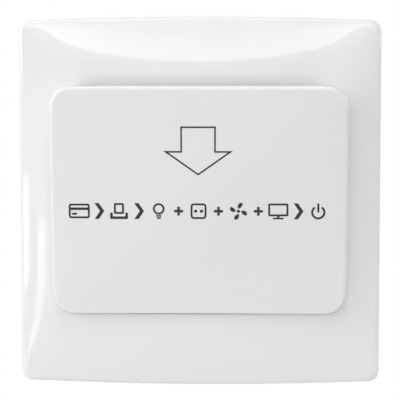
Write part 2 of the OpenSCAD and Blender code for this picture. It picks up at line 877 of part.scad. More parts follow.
module terminal_screws() {
    head_y = clamp_y1 + clamp_head_gap;
    color("silver")
        for (x = terminal_x)
            translate([x, 0, clamp_screw_z])
                difference() {
                    union() {
                        rod_y(0, 0, clamp_head_r, head_y, head_y + clamp_head);
                        rod_y(0, 0, clamp_screw_r, clamp_hole_y + wire_hole, head_y + root);
                    }
                    block(
                        [-clamp_head_r, head_y + 0.55 * clamp_head, -clamp_slot / 2],
                        [clamp_head_r, head_y + clamp_head + over, clamp_slot / 2]
                    );
                }
}

// Slots that let the switch's three strips through a wall
module strip_slots(y0, y1) {
    for (p = strip_at)
        block(
            [p[0] - strip_w / 2 - slot_fit, y0, p[1] - slot_fit],
            [p[0] + strip_w / 2 + slot_fit, y1, p[1] + strip_t + slot_fit]
        );
}

module microswitch_case() {
    color("dimgray")
        difference() {
            translate([switch_x, 0, 0])
                block([-switch_w / 2, switch_y0, switch_z0], [switch_w / 2, lid_y, switch_z1]);
            translate([switch_x, 0, 0])
                block(
                    [-switch_w / 2 + switch_wall, switch_y0 + switch_wall, switch_z0 + switch_wall],
                    [switch_w / 2 - switch_wall, lid_y + over, switch_z1 - switch_wall]
                );
            translate([plunger_x, plunger_y, 0])
                block(
                    [-plunger_w / 2 - slot_fit, -plunger_t / 2 - slot_fit, switch_z0 - over],
                    [plunger_w / 2 + slot_fit, plunger_t / 2 + slot_fit, switch_z0 + switch_wall + 0.1]
                );
        }
}

module microswitch_lid() {
    color("black")
        difference() {
            union() {
                translate([switch_x, 0, 0])
                    block([-switch_w / 2, lid_y, switch_z0], [switch_w / 2, board_y, switch_z1]);
                translate([switch_x, 0, 0])
                    block(
                        [-switch_w / 2 + switch_wall + slot_fit, lid_y - 0.5, switch_z1 - switch_wall - 1.4],
                        [switch_w / 2 - switch_wall - slot_fit, lid_y + 0.2, switch_z1 - switch_wall - slot_fit]
                    );
            }
            strip_slots(lid_y - over, board_y + over);
        }
}

module switch_contacts() {
    color("goldenrod")
        for (p = strip_at)
            block(
                [p[0] - strip_w / 2, strip_start, p[1]],
                [p[0] + strip_w / 2, strip_end, p[1] + strip_t]
            );
}

module switch_plunger() {
    sole = switch_z0 + switch_wall;
    color("crimson")
        translate([plunger_x, plunger_y, 0])
            union() {
                block([-plunger_w / 2, -plunger_t / 2, plunger_tip], [plunger_w / 2, plunger_t / 2, sole + 0.1]);
                block(
                    [-plunger_w / 2 - flange, -plunger_t / 2 - 0.4, sole],
                    [plunger_w / 2 + flange, plunger_t / 2 + 0.4, sole + flange_t]
                );
                block([-0.8, -0.8, sole + flange_t - 0.1], [0.8, 0.8, sole + flange_t + nub_t]);
            }
}

module contact_blade() {
    color("peru")
        union() {
            block(
                [blade_end_x - blade_over, plunger_y - blade_w / 2, blade_z],
                [blade_pivot_x + 0.3, plunger_y + blade_w / 2, blade_z + blade_t]
            );
            translate([blade_end_x, plunger_y, blade_z - dot_t])
                cylinder(r = dot_r, h = blade_t + 2 * dot_t);
        }
}

module card_lever() {
    nose = [pivot_y + nose_y, lever_z + nose_z];
    axle = [pivot_y, lever_z];
    along = (nose - axle) / norm(nose - axle);
    side = 0.9 * [-along[1], along[0]];
    color("floralwhite")
        difference() {
            union() {
                block([-toe_w / 2, toe_tip, lever_z - toe_t / 2], [toe_w / 2, pivot_y, toe_top]);
                rod_x(pivot_y, lever_z, hub_r, -hub_w / 2, hub_w / 2);
                profile(plunger_x - 2.2, plunger_x + 2.2)
                    polygon([axle + side, axle - side, nose - side, nose + side]);
                rod_x(nose[0], nose[1], nose_r, plunger_x - 2.2, plunger_x + 2.2);
                block(
                    [spring_w / 2 - 0.8, pivot_y - spring_leg_out, lever_z - spring_r + spring_flat],
                    [spring_w / 2 + 0.7, pivot_y - hub_r - 0.9, lever_z]
                );
            }
            rod_x(pivot_y, lever_z, pin_r + pin_fit, -hub_w, hub_w);
            rod_x(pivot_y, lever_z, hub_r + 0.4, -spring_gap / 2, spring_gap / 2);
        }
}

// Path of the spring's wire: a leg behind the coil, the curls, and a leg under the toe
function spring_path() = concat(
    [[-spring_w / 2, pivot_y + spring_r, lever_z + spring_leg_up]],
    [
        for (i = [0 : 8 * spring_curls + 2])
            let (a = -45 * i, x = spring_w * (i / (8 * spring_curls + 2) - 0.5))
                [x, pivot_y + spring_r * cos(a), lever_z + spring_r * sin(a)]
    ],
    [[spring_w / 2, pivot_y - spring_leg_out + 0.4, lever_z - spring_r]]
);

module lever_spring() {
    path = spring_path();
    last = len(path) - 1;
    sides = 6;
    rings = [
        for (i = [0 : last])
            let (
                ahead = path[min(i + 1, last)] - path[max(i, 0)],
                back = path[max(i, 1)] - path[max(i - 1, 0)],
                dir = i == last ? back : i == 0 ? ahead : ahead / norm(ahead) + back / norm(back),
                along = dir / norm(dir),
                across = [1, 0, 0] - along[0] * along,
                first = across / norm(across),
                second = cross(along, first)
            )
                for (k = [0 : sides - 1])
                    path[i] + spring_wire / 2 * (cos(60 * k) * first + sin(60 * k) * second)
    ];
    faces = concat(
        [[for (k = [0 : sides - 1]) k]],
        [
            for (i = [0 : last - 1], k = [0 : sides - 1])
                each [
                    [i * sides + k, (i + 1) * sides + k, (i + 1) * sides + (k + 1) % sides],
                    [i * sides + k, (i + 1) * sides + (k + 1) % sides, i * sides + (k + 1) % sides]
                ]
        ],
        [[for (k = [sides - 1 : -1 : 0]) last * sides + k]]
    );
    color("slategray")
        polyhedron(points = rings, faces = faces);
}

module pivot_pin() {
    lug_out = hub_w / 2 + lug_gap + lug_t;
    color("silver")
        union() {
            rod_x(pivot_y, lever_z, pin_r, -lug_out - pin_head / 2, lug_out + 0.6);
            rod_x(pivot_y, lever_z, pin_head_r, -lug_out - pin_head, -lug_out);
        }
}

front_plate();
pocket_panel();
panel_screws();
mounting_frame();
rear_housing();
housing_screws();
circuit_board();
board_screws();
power_relay();
supply_capacitor();
smoothing_capacitor();
bridge_rectifier();
varistor();
dropper_resistor();
timer_chip();
fuse();
terminal_block();
terminal_clamps();
terminal_screws();
microswitch_case();
microswitch_lid();
switch_contacts();
switch_plunger();
contact_blade();
card_lever();
lever_spring();
pivot_pin();
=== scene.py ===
"""Hotel key card switch: the visible pieces, modelled over the switch's CAD frame."""

import math

import bmesh
import bpy
from bpy.props import FloatProperty, FloatVectorProperty, PointerProperty
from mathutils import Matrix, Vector


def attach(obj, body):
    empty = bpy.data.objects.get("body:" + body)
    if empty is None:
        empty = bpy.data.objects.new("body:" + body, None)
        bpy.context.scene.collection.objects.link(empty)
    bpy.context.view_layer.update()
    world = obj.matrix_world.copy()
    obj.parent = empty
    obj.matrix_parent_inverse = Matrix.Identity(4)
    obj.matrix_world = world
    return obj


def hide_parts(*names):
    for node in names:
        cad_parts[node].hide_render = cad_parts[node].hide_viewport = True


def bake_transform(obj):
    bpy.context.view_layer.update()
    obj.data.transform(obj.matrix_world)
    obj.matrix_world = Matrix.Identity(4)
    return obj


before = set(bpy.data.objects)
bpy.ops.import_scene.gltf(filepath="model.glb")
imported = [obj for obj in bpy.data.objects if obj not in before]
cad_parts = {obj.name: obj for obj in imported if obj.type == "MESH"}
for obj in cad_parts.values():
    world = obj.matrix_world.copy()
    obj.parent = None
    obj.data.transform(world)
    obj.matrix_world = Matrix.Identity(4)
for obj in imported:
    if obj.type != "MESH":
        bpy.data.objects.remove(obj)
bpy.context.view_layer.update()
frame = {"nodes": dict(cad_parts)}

bl_info = {
    "name": "Hotel key card switch",
    "version": (1, 0, 0),
    "blender": (4, 5, 0),
    "location": "View3D > Sidebar > Card switch",
    "description": "Models a wall switch with a crowned plate and a sloping pocket for a key card",
    "category": "Add Mesh",
}

MM = 0.001

# Sizes that several pieces share
PANEL_SCREW_X = 31.875 * MM
PANEL_SCREW_Z = (-17.8 * MM, 19.2 * MM)
PANEL_SCREW_BORE = 1.03 * MM
HOUSING_SCREW_BORE = 1.23 * MM
HOOK_X = 20 * MM
TOE_WINDOW = 8.5 * MM  # half the width
TERMINAL_WAYS = 4

# How far a tool reaches past the surface that it cuts, and an added form into what it stands on
OVER = 1 * MM
ROOT = 0.5 * MM
# A small distance, to tell places apart
TINY = 0.01 * MM
# Steps round an edge that is built of rings
EDGE_STEPS = 5

# How the crown falls off: gently across, steeply at the left and right rims, and up and down
DOME_POWER = 1.8
RIM_POWER = 10
UP_POWER = 4
# How the ends of the ramp run out
RUN_OUT_POWER = 1.7

# Range that the noise textures keep to
NOISE_LOW, NOISE_HIGH = 0.3, 0.7
# Size of a text over the height of its figures
FIGURE_SCALE = 1.4
# Steps along one curl of the spring
CURL_STEPS = 24

# Name, setting of the power, azimuth and elevation in degrees, distance, width and height in metres
LAMPS = (
    ("softbox", "softbox", 0, 25.3, 1.0, 1.5, 0.4),
    ("softbox_edge", "softbox_edge", 0, 18.9, 0.98, 1.2, 0.17),
    ("overhead", "overhead", 0, 66, 0.8, 0.5, 0.6),
    ("left", "left", -65, 20, 0.8, 0.5, 0.5),
    ("left_edge", "left_edge", -80, 15, 0.78, 0.3, 0.3),
    ("left_window", "left_window", -46, -6.2, 0.9, 0.5, 0.1),
    ("left_strip", "left_strip", -23.6, -11, 0.95, 0.055, 0.19),
    ("below", "below", 0, -62, 0.17, 0.3, 0.1),
    ("right", "right", 91, 15, 0.8, 0.4, 0.3),
    ("rear_left", "rear", -145, 30, 0.9, 0.5, 0.5),
    ("rear_right", "rear", 145, 30, 0.9, 0.5, 0.5),
)


# Sizes and colours

def length(name, description, default):
    """A size, given in millimetres."""
    return FloatProperty(name=name, description=description, default=default * MM, unit="LENGTH", precision=5)


def tint(name, description, default):
    """A colour, as the finish reflects it."""
    return FloatVectorProperty(
        name=name, description=description, default=default, subtype="COLOR", min=0, max=1
    )


def power(name, description, default):
    """A lamp's power, in watts."""
    return FloatProperty(name=name, description=description, default=default, min=0, unit="POWER")


class PlateSizes(bpy.types.PropertyGroup):
    """The crowned plate that covers the wall box"""

    width: length("Width", "Width of the plate", 86)
    height: length("Height", "Height of the plate at its middle", 88.2)
    bow: length("Bow", "Rise of the top and bottom edges at mid width", 1)
    corner: length("Corner", "Rounding of the corners, seen from the front", 2.4)
    edge: length("Edge", "Rounding of the front edge", 1.1)
    crown: length("Crown", "Height of the crown over the rim", 2.5)
    dome: FloatProperty(
        name="Dome", description="Share of the crown that falls off gently across, before the rim",
        default=0.7, min=0, max=1, subtype="FACTOR"
    )
    rim: length("Rim", "Distance of the rim's front from the wall", 5.5)
    gap: length("Wall gap", "Gap between the rim and the wall", 0.2)
    wall: length("Side wall", "Thickness of the side walls", 2)
    floor: length("Floor", "Distance of the pocket's floor from the wall", 6)
    floor_wall: length("Floor thickness", "Thickness of the pocket's floor", 2)
    lip: length("Lip", "Rounding of the edge round the pocket", 0.12)
    roll: length("Roll", "Rounding of the ramp that leads the card in", 40)
    lead_in: length("Lead-in", "Height of the ramp over the panel", 2.5)
    run_out: length("Run-out", "Length over which the ramp's ends run out", 4.4)


class PanelSizes(bpy.types.PropertyGroup):
    """The sloping panel in front of the card"""

    width: length("Width", "Width of the panel", 69.7)
    height: length("Height", "Height of the panel", 53.9)
    middle: length("Middle", "Height of the panel's middle over the fixing holes", 0.7)
    corner: length("Corner", "Rounding of the corners, seen from the front", 5.3)
    edge: length("Edge", "Rounding of the front edge", 1)
    edge_bottom: length("Bottom edge", "Rounding of the front edge at the bottom", 0.15)
    rise_top: length("Top rise", "How far the top stands off the pocket's floor", 8.99)
    rise_bottom: length("Bottom rise", "How far the bottom stands off the pocket's floor", 2.9)
    wall: length("Wall", "Thickness of the front wall", 1.8)
    slot: length("Slot", "Width of the card slot", 57.8)
    stop: length("Card stop", "Height of the card stop over the bottom edge", 5.7)
    seam: length("Seam", "Seam at the sides and the top", 0.06)
    seam_bottom: length("Bottom seam", "Seam below the panel", 0.28)


class PrintSizes(bpy.types.PropertyGroup):
    """The arrow and the row of signs on the panel"""

    line: length("Line", "Width of the arrow's line", 0.38)
    shaft: length("Shaft", "Half the width of the arrow's shaft", 4.12)
    head: length("Head", "Half the width of the arrow's head", 8.12)
    arrow_top: length("Arrow top", "Height of the arrow's top", 18.3)
    arrow_neck: length("Arrow neck", "Height where the shaft meets the head", 12.56)
    arrow_tip: length("Arrow tip", "Height of the arrow's tip", 6.83)
    row: length("Row", "Height of the middle of the row of signs", -1.6)
    sign: length("Sign", "Height of a sign", 3.8)
    row_width: length("Row width", "Width of the row of signs", 60.7)
    ink: length("Ink", "Thickness of the ink", 0.03)


class FrameSizes(bpy.types.PropertyGroup):
    """The frame that is screwed to the wall"""

    width: length("Width", "Width of the frame", 74)
    height: length("Height", "Height of the frame", 72)
    corner: length("Corner", "Rounding of the corners, seen from the front", 4)
    thick: length("Thickness", "Thickness of the frame", 2.2)
    edge: length("Edge", "Rounding of the front edge", 0.45)
    rib: length("Rib", "Height of the ring of rib on the front", 0.6)
    seat: length("Seat", "Depth of the recess that the housing seats in", 0.4)
    pitch: length("Pitch", "Distance between the fixing holes", 60.3)
    hole: length("Fixing hole", "Radius of the fixing holes", 2.1)
    pocket: length("Head pocket", "Radius of the pockets for the fixing screws' heads", 4.4)
    post: length("Post", "Radius of the posts that carry the board", 2.6)


class HousingSizes(bpy.types.PropertyGroup):
    """The housing behind the frame"""

    width: length("Width", "Width of the housing", 52)
    height: length("Height", "Height of the housing", 52)
    corner: length("Corner", "Rounding of the long edges", 3)
    edge: length("Edge", "Rounding of the rear edge", 1.1)
    draft: length("Draft", "How much each side leans in towards the rear", 0.12)
    depth: length("Depth", "Depth of the housing behind the wall's surface", 31)
    wall: length("Wall", "Thickness of the walls", 2)
    boss: length("Boss", "Radius of the bosses for the screws", 3)
    boss_depth: length("Boss depth", "Depth of the bosses", 9)
    boss_x: length("Boss across", "Distance of the bosses from the middle, across", 13)
    boss_z: length("Boss up", "Distance of the bosses from the middle, up", 29)
    number: length("Number", "Height of the numbers over the terminals", 2.9)


class TerminalSizes(bpy.types.PropertyGroup):
    """The terminal block and its screws"""

    width: length("Width", "Width of the block", 40)
    top: length("Top", "Height of the block's top", -13.6)
    bottom: length("Bottom", "Height of the block's bottom", -26)
    front: length("Front", "Place of the block's front behind the wall's surface", 12.6)
    pitch: length("Pitch", "Distance between the ways", 9.6)
    well: length("Well", "Radius of the wells over the screws", 2.35)
    screw_z: length("Screws", "Height of the screws", -19.9)
    head: length("Head", "Radius of the screws' heads", 2.2)


class LeverSizes(bpy.types.PropertyGroup):
    """The lever that the card tips"""

    axle_y: length("Axle", "Place of the axle behind the wall's surface", 5)
    axle_z: length("Axle height", "Height of the axle", -18.25)
    toe: length("Toe", "Width of the toe", 16)
    toe_tip: length("Toe tip", "Place of the toe's tip", -7.6)
    toe_thick: length("Toe thickness", "Thickness of the toe", 1.6)
    hub: length("Hub", "Radius of the hub", 2.2)
    coil: length("Coil", "Radius of the spring's coil", 1.55)
    coil_width: length("Coil width", "Width of the spring's coil", 4.3)
    wire: length("Wire", "Radius of the spring's wire", 0.216)
    curls: FloatProperty(name="Curls", description="Turns of the spring", default=4.25, min=1)


class Finishes(bpy.types.PropertyGroup):
    """Colours of the finishes"""

    gloss_white: tint("Gloss white", "Plate and panel", (0.8, 0.8, 0.8))
    ink: tint("Ink", "Arrow and signs", (0.008, 0.008, 0.009))
    frame: tint("Frame", "Mounting frame", (0.66, 0.66, 0.64))
    housing: tint("Housing", "Housing behind the frame", (0.74, 0.74, 0.71))
    zinc: tint("Zinc", "Screws", (0.62, 0.63, 0.65))
    steel: tint("Steel", "Spring and pin", (0.48, 0.49, 0.51))
    brass: tint("Brass", "Clamps and contacts", (0.74, 0.55, 0.24))
    terminal: tint("Terminals", "Terminal block", (0.33, 0.34, 0.34))
    lever: tint("Lever", "Card lever", (0.72, 0.7, 0.63))
    board: tint("Board", "Timer board", (0.02, 0.13, 0.05))
    relay: tint("Relay", "Relay", (0.03, 0.09, 0.34))
    film: tint("Film capacitor", "Supply capacitor", (0.62, 0.38, 0.05))
    can: tint("Can capacitor", "Smoothing capacitor", (0.012, 0.02, 0.09))
    epoxy: tint("Epoxy", "Rectifier and chip", (0.014, 0.014, 0.016))
    disc: tint("Disc", "Surge absorber", (0.02, 0.08, 0.24))
    resistor: tint("Resistor", "Dropper resistor", (0.46, 0.3, 0.16))
    fuse: tint("Fuse", "Fuse", (0.1, 0.035, 0.015))
    switch: tint("Snap switch", "Case and lid of the snap switch", (0.018, 0.018, 0.02))
    plunger: tint("Plunger", "Plunger of the snap switch", (0.45, 0.02, 0.02))
    floor: tint("Floor", "Studio floor", (0.86, 0.86, 0.86))


class StageSettings(bpy.types.PropertyGroup):
    """Camera and light"""

    distance: length("Distance", "Distance of the camera", 350)
    elevation: FloatProperty(
        name="Elevation", description="Height of the camera as an angle", default=math.radians(4.44),
        subtype="ANGLE"
    )
    azimuth: FloatProperty(
        name="Azimuth", description="Turn of the camera to the right", default=math.radians(1.5),
        subtype="ANGLE"
    )
    aim_x: length("Aim across", "Place across that the camera looks at", -0.061)
    aim_z: length("Aim up", "Height that the camera looks at", 0.123)
    lens: FloatProperty(name="Lens", description="Focal length in millimetres", default=130)
    ambient: FloatProperty(name="Ambient", description="Strength of the light from all round", default=0.262)
    glow: FloatProperty(name="Glow", description="Strength of the glow under the softbox", default=2.0)
    softbox: power("Softbox", "Wide light over the camera", 3.5)
    softbox_edge: power("Softbox edge", "Brighter lower edge of that light", 1.25)
    overhead: power("Overhead", "Light over the switch", 2.2)
    left: power("Left", "Wide light at the left", 2.0)
    left_edge: power("Left edge", "Light from far left", 1.0)
    left_window: power("Left window", "Low wide light at the left", 0.5)
    left_strip: power("Left strip", "Narrow light left of the camera", 0.085)
    below: power("Below", "Weak light from below", 0.022)
    right: power("Right", "Light from far right", 1.6)
    rear: power("Rear", "Each of the two lights behind the switch", 1.5)


# Modelling helpers

def both(distance):
    """A distance to either side of the middle."""
    return -distance, distance


def corners(across, heights):
    """Places at the given heights, first on the left and then on the right."""
    return [(x, z) for x in both(across) for z in heights]


def direction(azimuth, elevation):
    """Direction from the switch, turned to the right from straight in front, and raised."""
    level = math.cos(elevation)
    return Vector((level * math.sin(azimuth), -level * math.cos(azimuth), math.sin(elevation)))


def leave_edit():
    if bpy.context.mode != "OBJECT":
        bpy.ops.object.mode_set(mode="OBJECT")


def clear_selection():
    leave_edit()
    bpy.ops.object.select_all(action="DESELECT")


def take(piece):
    """Makes one piece the active one, with nothing else selected."""
    clear_selection()
    piece.select_set(True)
    bpy.context.view_layer.objects.active = piece
    return piece


def enter_edit(piece):
    take(piece)
    bpy.ops.object.mode_set(mode="EDIT")


def begin(name):
    """Names the primitive that was just added, and puts its place and size into its mesh."""
    piece = bpy.context.active_object
    piece.name = name
    piece.data.name = name
    bpy.ops.object.transform_apply(location=True, rotation=True, scale=True)
    return piece


def pick(piece, kind, test):
    """In edit mode, selects the vertices, edges or faces that pass a test."""
    bpy.ops.mesh.select_mode(type=kind)
    bpy.ops.mesh.select_all(action="DESELECT")
    mesh = bmesh.from_edit_mesh(piece.data)
    items = {"VERT": mesh.verts, "EDGE": mesh.edges, "FACE": mesh.faces}[kind]
    found = [item for item in items if test(item)]
    if not found:
        raise RuntimeError(f"nothing to select on {piece.name}")
    for item in found:
        item.select_set(True)
    mesh.select_flush_mode()
    bmesh.update_edit_mesh(piece.data)


def modify(piece, kind, **settings):
    """Adds a modifier and applies it."""
    take(piece)
    modifier = piece.modifiers.new(kind.title(), kind)
    for name, value in settings.items():
        setattr(modifier, name, value)
    bpy.ops.object.modifier_apply(modifier=modifier.name)
    return piece


def combine(piece, tool, operation, crossing=False):
    """Cuts a tool out of a piece, or adds it, and deletes the tool, whose faces may cross if so said."""
    modify(piece, "BOOLEAN", operation=operation, object=tool, solver="EXACT", use_self=crossing)
    bpy.data.objects.remove(tool)
    return piece


def cut(piece, *tools):
    for tool in tools:
        combine(piece, tool, "DIFFERENCE")
    return piece


def add(piece, *tools):
    for tool in tools:
        combine(piece, tool, "UNION")
    return piece


def block(name, low, high):
    """Box between two corners."""
    clear_selection()
    low, high = Vector(low), Vector(high)
    bpy.ops.mesh.primitive_cube_add(size=1, location=(low + high) / 2)
    bpy.context.active_object.scale = high - low
    return begin(name)


def rod(name, axis, start, end, radius, sides=48):
    """Round rod along X or Y from start, of the length to end."""
    clear_selection()
    start = Vector(start)
    turn = (0, math.pi / 2, 0) if axis == "X" else (math.pi / 2, 0, 0)
    middle = start.copy()
    place = "XY".index(axis)
    middle[place] = (start[place] + end) / 2
    bpy.ops.mesh.primitive_cylinder_add(
        vertices=sides, radius=radius, depth=abs(end - start[place]), location=middle, rotation=turn
    )
    return begin(name)


def taper(name, x, z, start, end, radius_start, radius_end, sides=48):
    """Round taper along Y."""
    clear_selection()
    bpy.ops.mesh.primitive_cone_add(
        vertices=sides, radius1=radius_start, radius2=radius_end, depth=end - start,
        location=(x, (start + end) / 2, z), rotation=(-math.pi / 2, 0, 0),
    )
    return begin(name)


def copies(piece, places, turns):
    """Copies of a piece that stands at the middle, each turned about Y and moved, joined to one."""
    name = piece.name
    made = []
    for (x, z), turn in zip(places, turns):
        take(piece)
        bpy.ops.object.duplicate(linked=False)
        copy = bpy.context.active_object
        copy.location = (x, 0, z)
        copy.rotation_euler = (0, math.radians(turn), 0)
        made.append(begin("copy"))
    bpy.data.objects.remove(piece)
    clear_selection()
    for copy in made:
        copy.select_set(True)
    bpy.context.view_layer.objects.active = made[0]
    bpy.ops.object.join()
    made[0].name = name
    made[0].data.name = name
    return made[0]


def soften(piece, width, segments=3, angle=40):
    """Rounds the sharp edges."""
    return modify(
        piece, "BEVEL", width=width, segments=segments, limit_method="ANGLE",
        angle_limit=math.radians(angle), use_clamp_overlap=True,
    )


def slice_off(piece, point, normal):
    """Cuts off what lies beyond a plane, and closes the cut."""
    enter_edit(piece)
    bpy.ops.mesh.select_all(action="SELECT")
    bpy.ops.mesh.bisect(plane_co=point, plane_no=normal, use_fill=True, clear_outer=True)
    leave_edit()
    return piece


def rounded_sheet(name, width, height, corner, y, middle=0, arc=8, cuts=0):
    """Upright face with round corners, left in edit mode with the face selected."""
    clear_selection()
    bpy.ops.mesh.primitive_plane_add(size=1, location=(0, y, middle), rotation=(math.pi / 2, 0, 0))
    bpy.context.active_object.scale = (width, height, 1)
    sheet = begin(name)
    enter_edit(sheet)
    bpy.ops.mesh.select_all(action="SELECT")
    bpy.ops.mesh.bevel(offset=corner, segments=arc, profile=0.5, affect="VERTICES")
    if cuts:
        pick(sheet, "EDGE", lambda edge: edge.calc_length() > min(width, height) / 3)
        bpy.ops.mesh.subdivide(number_cuts=cuts)
    bpy.ops.mesh.select_mode(type="FACE")
    bpy.ops.mesh.select_all(action="SELECT")
    return sheet


def push_face(step, wide=1, high=1, middle=0):
    """Extrudes the selected face along Y and resizes it about the middle."""
    bpy.ops.mesh.extrude_region_move(TRANSFORM_OT_translate={"value": (0, step, 0)})
    if wide != 1 or high != 1:
        bpy.ops.transform.resize(value=(wide, 1, high), center_override=(0, 0, middle))


def push_along(rings, middle=0):
    """Extrudes the selected face through rings, each a place along Y with a width and a height scale."""
    for before, after in zip(rings, rings[1:]):
        push_face(after[0] - before[0], after[1] / before[1], after[2] / before[2], middle)


def rounded_slab(name, width, height, corner, start, end, edge=0, draft=0):
    """Upright slab with round corners between two places along Y, with its far edge rounded."""
    slab = rounded_sheet(name, width, height, corner, start)
    way = 1 if end > start else -1
    rings = [(start, 1, 1)]
    for step in range(EDGE_STEPS + 1 if edge else 1):
        angle = math.radians(90 * step / EDGE_STEPS)
        inset = draft + edge * (1 - math.cos(angle))
        place = end - way * edge * (1 - math.sin(angle))
        rings.append((place, 1 - 2 * inset / width, 1 - 2 * inset / height))
    push_along(rings)
    leave_edit()
    return close_up(slab)


def move_by(piece, name, amount, axis, weight):
    """Moves points along an axis by an amount times a weight that depends on the point's place."""
    group = piece.vertex_groups.new(name=name)
    for vertex in piece.data.vertices:
        share = weight(vertex.co)
        if share > 0:
            group.add([vertex.index], share, "REPLACE")
    modify(piece, "DISPLACE", direction=axis, strength=amount, mid_level=0, vertex_group=name)
    piece.vertex_groups.remove(piece.vertex_groups[name])
    return piece


def close_up(piece, near=0.002 * MM):
    """Merges doubled points, deletes loose ones and turns all faces outwards."""
    enter_edit(piece)
    bpy.ops.mesh.select_all(action="SELECT")
    bpy.ops.mesh.remove_doubles(threshold=near)
    bpy.ops.mesh.delete_loose(use_verts=True, use_edges=True, use_faces=False)
    bpy.ops.mesh.select_all(action="SELECT")
    bpy.ops.mesh.normals_make_consistent(inside=False)
    leave_edit()
    return piece


def settle(piece, body, slot, finish, *nodes, angle=35):
    """Gives a finished piece its shading and material, and ties it to the body that it moves with, if any."""
    take(piece)
    bpy.ops.object.shade_smooth_by_angle(angle=math.radians(angle))
    piece.data.materials.clear()
    piece.data.materials.append(finish)
    if body:
        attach(piece, body)
    if nodes:
        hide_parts(*nodes)
    return piece


# Finishes

def node_group(name, inputs, outputs):
    """An empty node group with its sockets."""
    group = bpy.data.node_groups.new(name, "ShaderNodeTree")
    for label, default in inputs:
        socket = group.interface.new_socket(label, in_out="INPUT", socket_type="NodeSocketFloat")
        socket.default_value = default
    for label in outputs:
        group.interface.new_socket(label, in_out="OUTPUT", socket_type="NodeSocketFloat")
    return group, group.nodes.new("NodeGroupInput"), group.nodes.new("NodeGroupOutput")


def noise(group, place, scale, detail, distortion=0.0):
    """A noise texture whose scale is a group input or a number."""
    texture = group.nodes.new("ShaderNodeTexNoise")
    texture.inputs["Detail"].default_value = detail
    texture.inputs["Distortion"].default_value = distortion
    group.links.new(place, texture.inputs["Vector"])
    if isinstance(scale, float):
        texture.inputs["Scale"].default_value = scale
    else:
        group.links.new(scale, texture.inputs["Scale"])
    return texture.outputs["Fac"]


def moulded_skin():
    """Node group: the skin of a moulding, with its grain, slow ripple, cloudy colour and finger marks."""
    name = "moulded_skin"
    if name in bpy.data.node_groups:
        return bpy.data.node_groups[name]
    group, inlet, outlet = node_group(
        name, [("Grain", 3000.0), ("Ripple", 90.0), ("Grain Share", 0.3)], ["Height", "Cloud", "Marks"]
    )
    place = group.nodes.new("ShaderNodeTexCoord").outputs["Object"]
    grain = noise(group, place, inlet.outputs["Grain"], detail=3.0)
    ripple = noise(group, place, inlet.outputs["Ripple"], detail=2.0)
    blend = group.nodes.new("ShaderNodeMix")
    blend.data_type = "FLOAT"
    group.links.new(inlet.outputs["Grain Share"], blend.inputs["Factor"])
    group.links.new(ripple, blend.inputs["A"])
    group.links.new(grain, blend.inputs["B"])
    group.links.new(blend.outputs["Result"], outlet.inputs["Height"])
    cloud = noise(group, place, scale=45.0, detail=3.0, distortion=0.6)
    marks = noise(group, place, scale=160.0, detail=5.0, distortion=1.6)
    group.links.new(cloud, outlet.inputs["Cloud"])
    group.links.new(marks, outlet.inputs["Marks"])
    return group


def drawn_skin():
    """Node group: the fine lines that rolling, drawing and plating leave on metal."""
    name = "drawn_skin"
    if name in bpy.data.node_groups:
        return bpy.data.node_groups[name]
    group, inlet, outlet = node_group(name, [("Lines", 900.0), ("Stain", 400.0)], ["Height", "Stain"])
    place = group.nodes.new("ShaderNodeTexCoord").outputs["Object"]
    stretch = group.nodes.new("ShaderNodeMapping")
    stretch.inputs["Scale"].default_value = (1.0, 1.0, 7.0)
    group.links.new(place, stretch.inputs["Vector"])
    lines = noise(group, stretch.outputs["Vector"], inlet.outputs["Lines"], detail=4.0)
    stain = noise(group, place, inlet.outputs["Stain"], detail=4.0, distortion=0.8)
    group.links.new(lines, outlet.inputs["Height"])
    group.links.new(stain, outlet.inputs["Stain"])
    return group


def two_tones(material, mask, colour, darker):
    """Feeds Base Color with a colour that a mask turns darker in places."""
    tree = material.node_tree
    tones = tree.nodes.new("ShaderNodeMix")
    tones.data_type = "RGBA"
    tones.inputs["A"].default_value = (*[c * darker for c in colour], 1)
    tones.inputs["B"].default_value = (*colour, 1)
    tree.links.new(mask, tones.inputs["Factor"])
    tree.links.new(tones.outputs["Result"], tree.nodes["Principled BSDF"].inputs["Base Color"])


def spread(material, mask, low, high, socket):
    """Feeds a shader socket with a mask stretched between two values."""
    tree = material.node_tree
    stretch = tree.nodes.new("ShaderNodeMapRange")
    stretch.inputs["From Min"].default_value = NOISE_LOW
    stretch.inputs["From Max"].default_value = NOISE_HIGH
    stretch.inputs["To Min"].default_value = low
    stretch.inputs["To Max"].default_value = high
    tree.links.new(mask, stretch.inputs["Value"])
    tree.links.new(stretch.outputs["Result"], tree.nodes["Principled BSDF"].inputs[socket])


def relief(material, height, strength, depth):
    """Feeds Normal with a bump from a height."""
    tree = material.node_tree
    bump = tree.nodes.new("ShaderNodeBump")
    bump.inputs["Strength"].default_value = strength
    bump.inputs["Distance"].default_value = depth
    tree.links.new(height, bump.inputs["Height"])
    tree.links.new(bump.outputs["Normal"], tree.nodes["Principled BSDF"].inputs["Normal"])


def new_material(name):
    material = bpy.data.materials.new(name)
    material.use_nodes = True
    return material


def plastic(
    name, colour, rough, grain=3000.0, ripple=90.0, share=0.3, bump=0.05, depth=0.2 * MM, darker=0.97
):
    """A moulded plastic: cloudy colour, uneven gloss and a fine skin."""
    if name in bpy.data.materials:
        return bpy.data.materials[name]
    material = new_material(name)
    skin = material.node_tree.nodes.new("ShaderNodeGroup")
    skin.node_tree = moulded_skin()
    skin.inputs["Grain"].default_value = grain
    skin.inputs["Ripple"].default_value = ripple
    skin.inputs["Grain Share"].default_value = share
    two_tones(material, skin.outputs["Cloud"], colour, darker)
    spread(material, skin.outputs["Marks"], rough[0], rough[1], "Roughness")
    relief(material, skin.outputs["Height"], bump, depth)
    return material


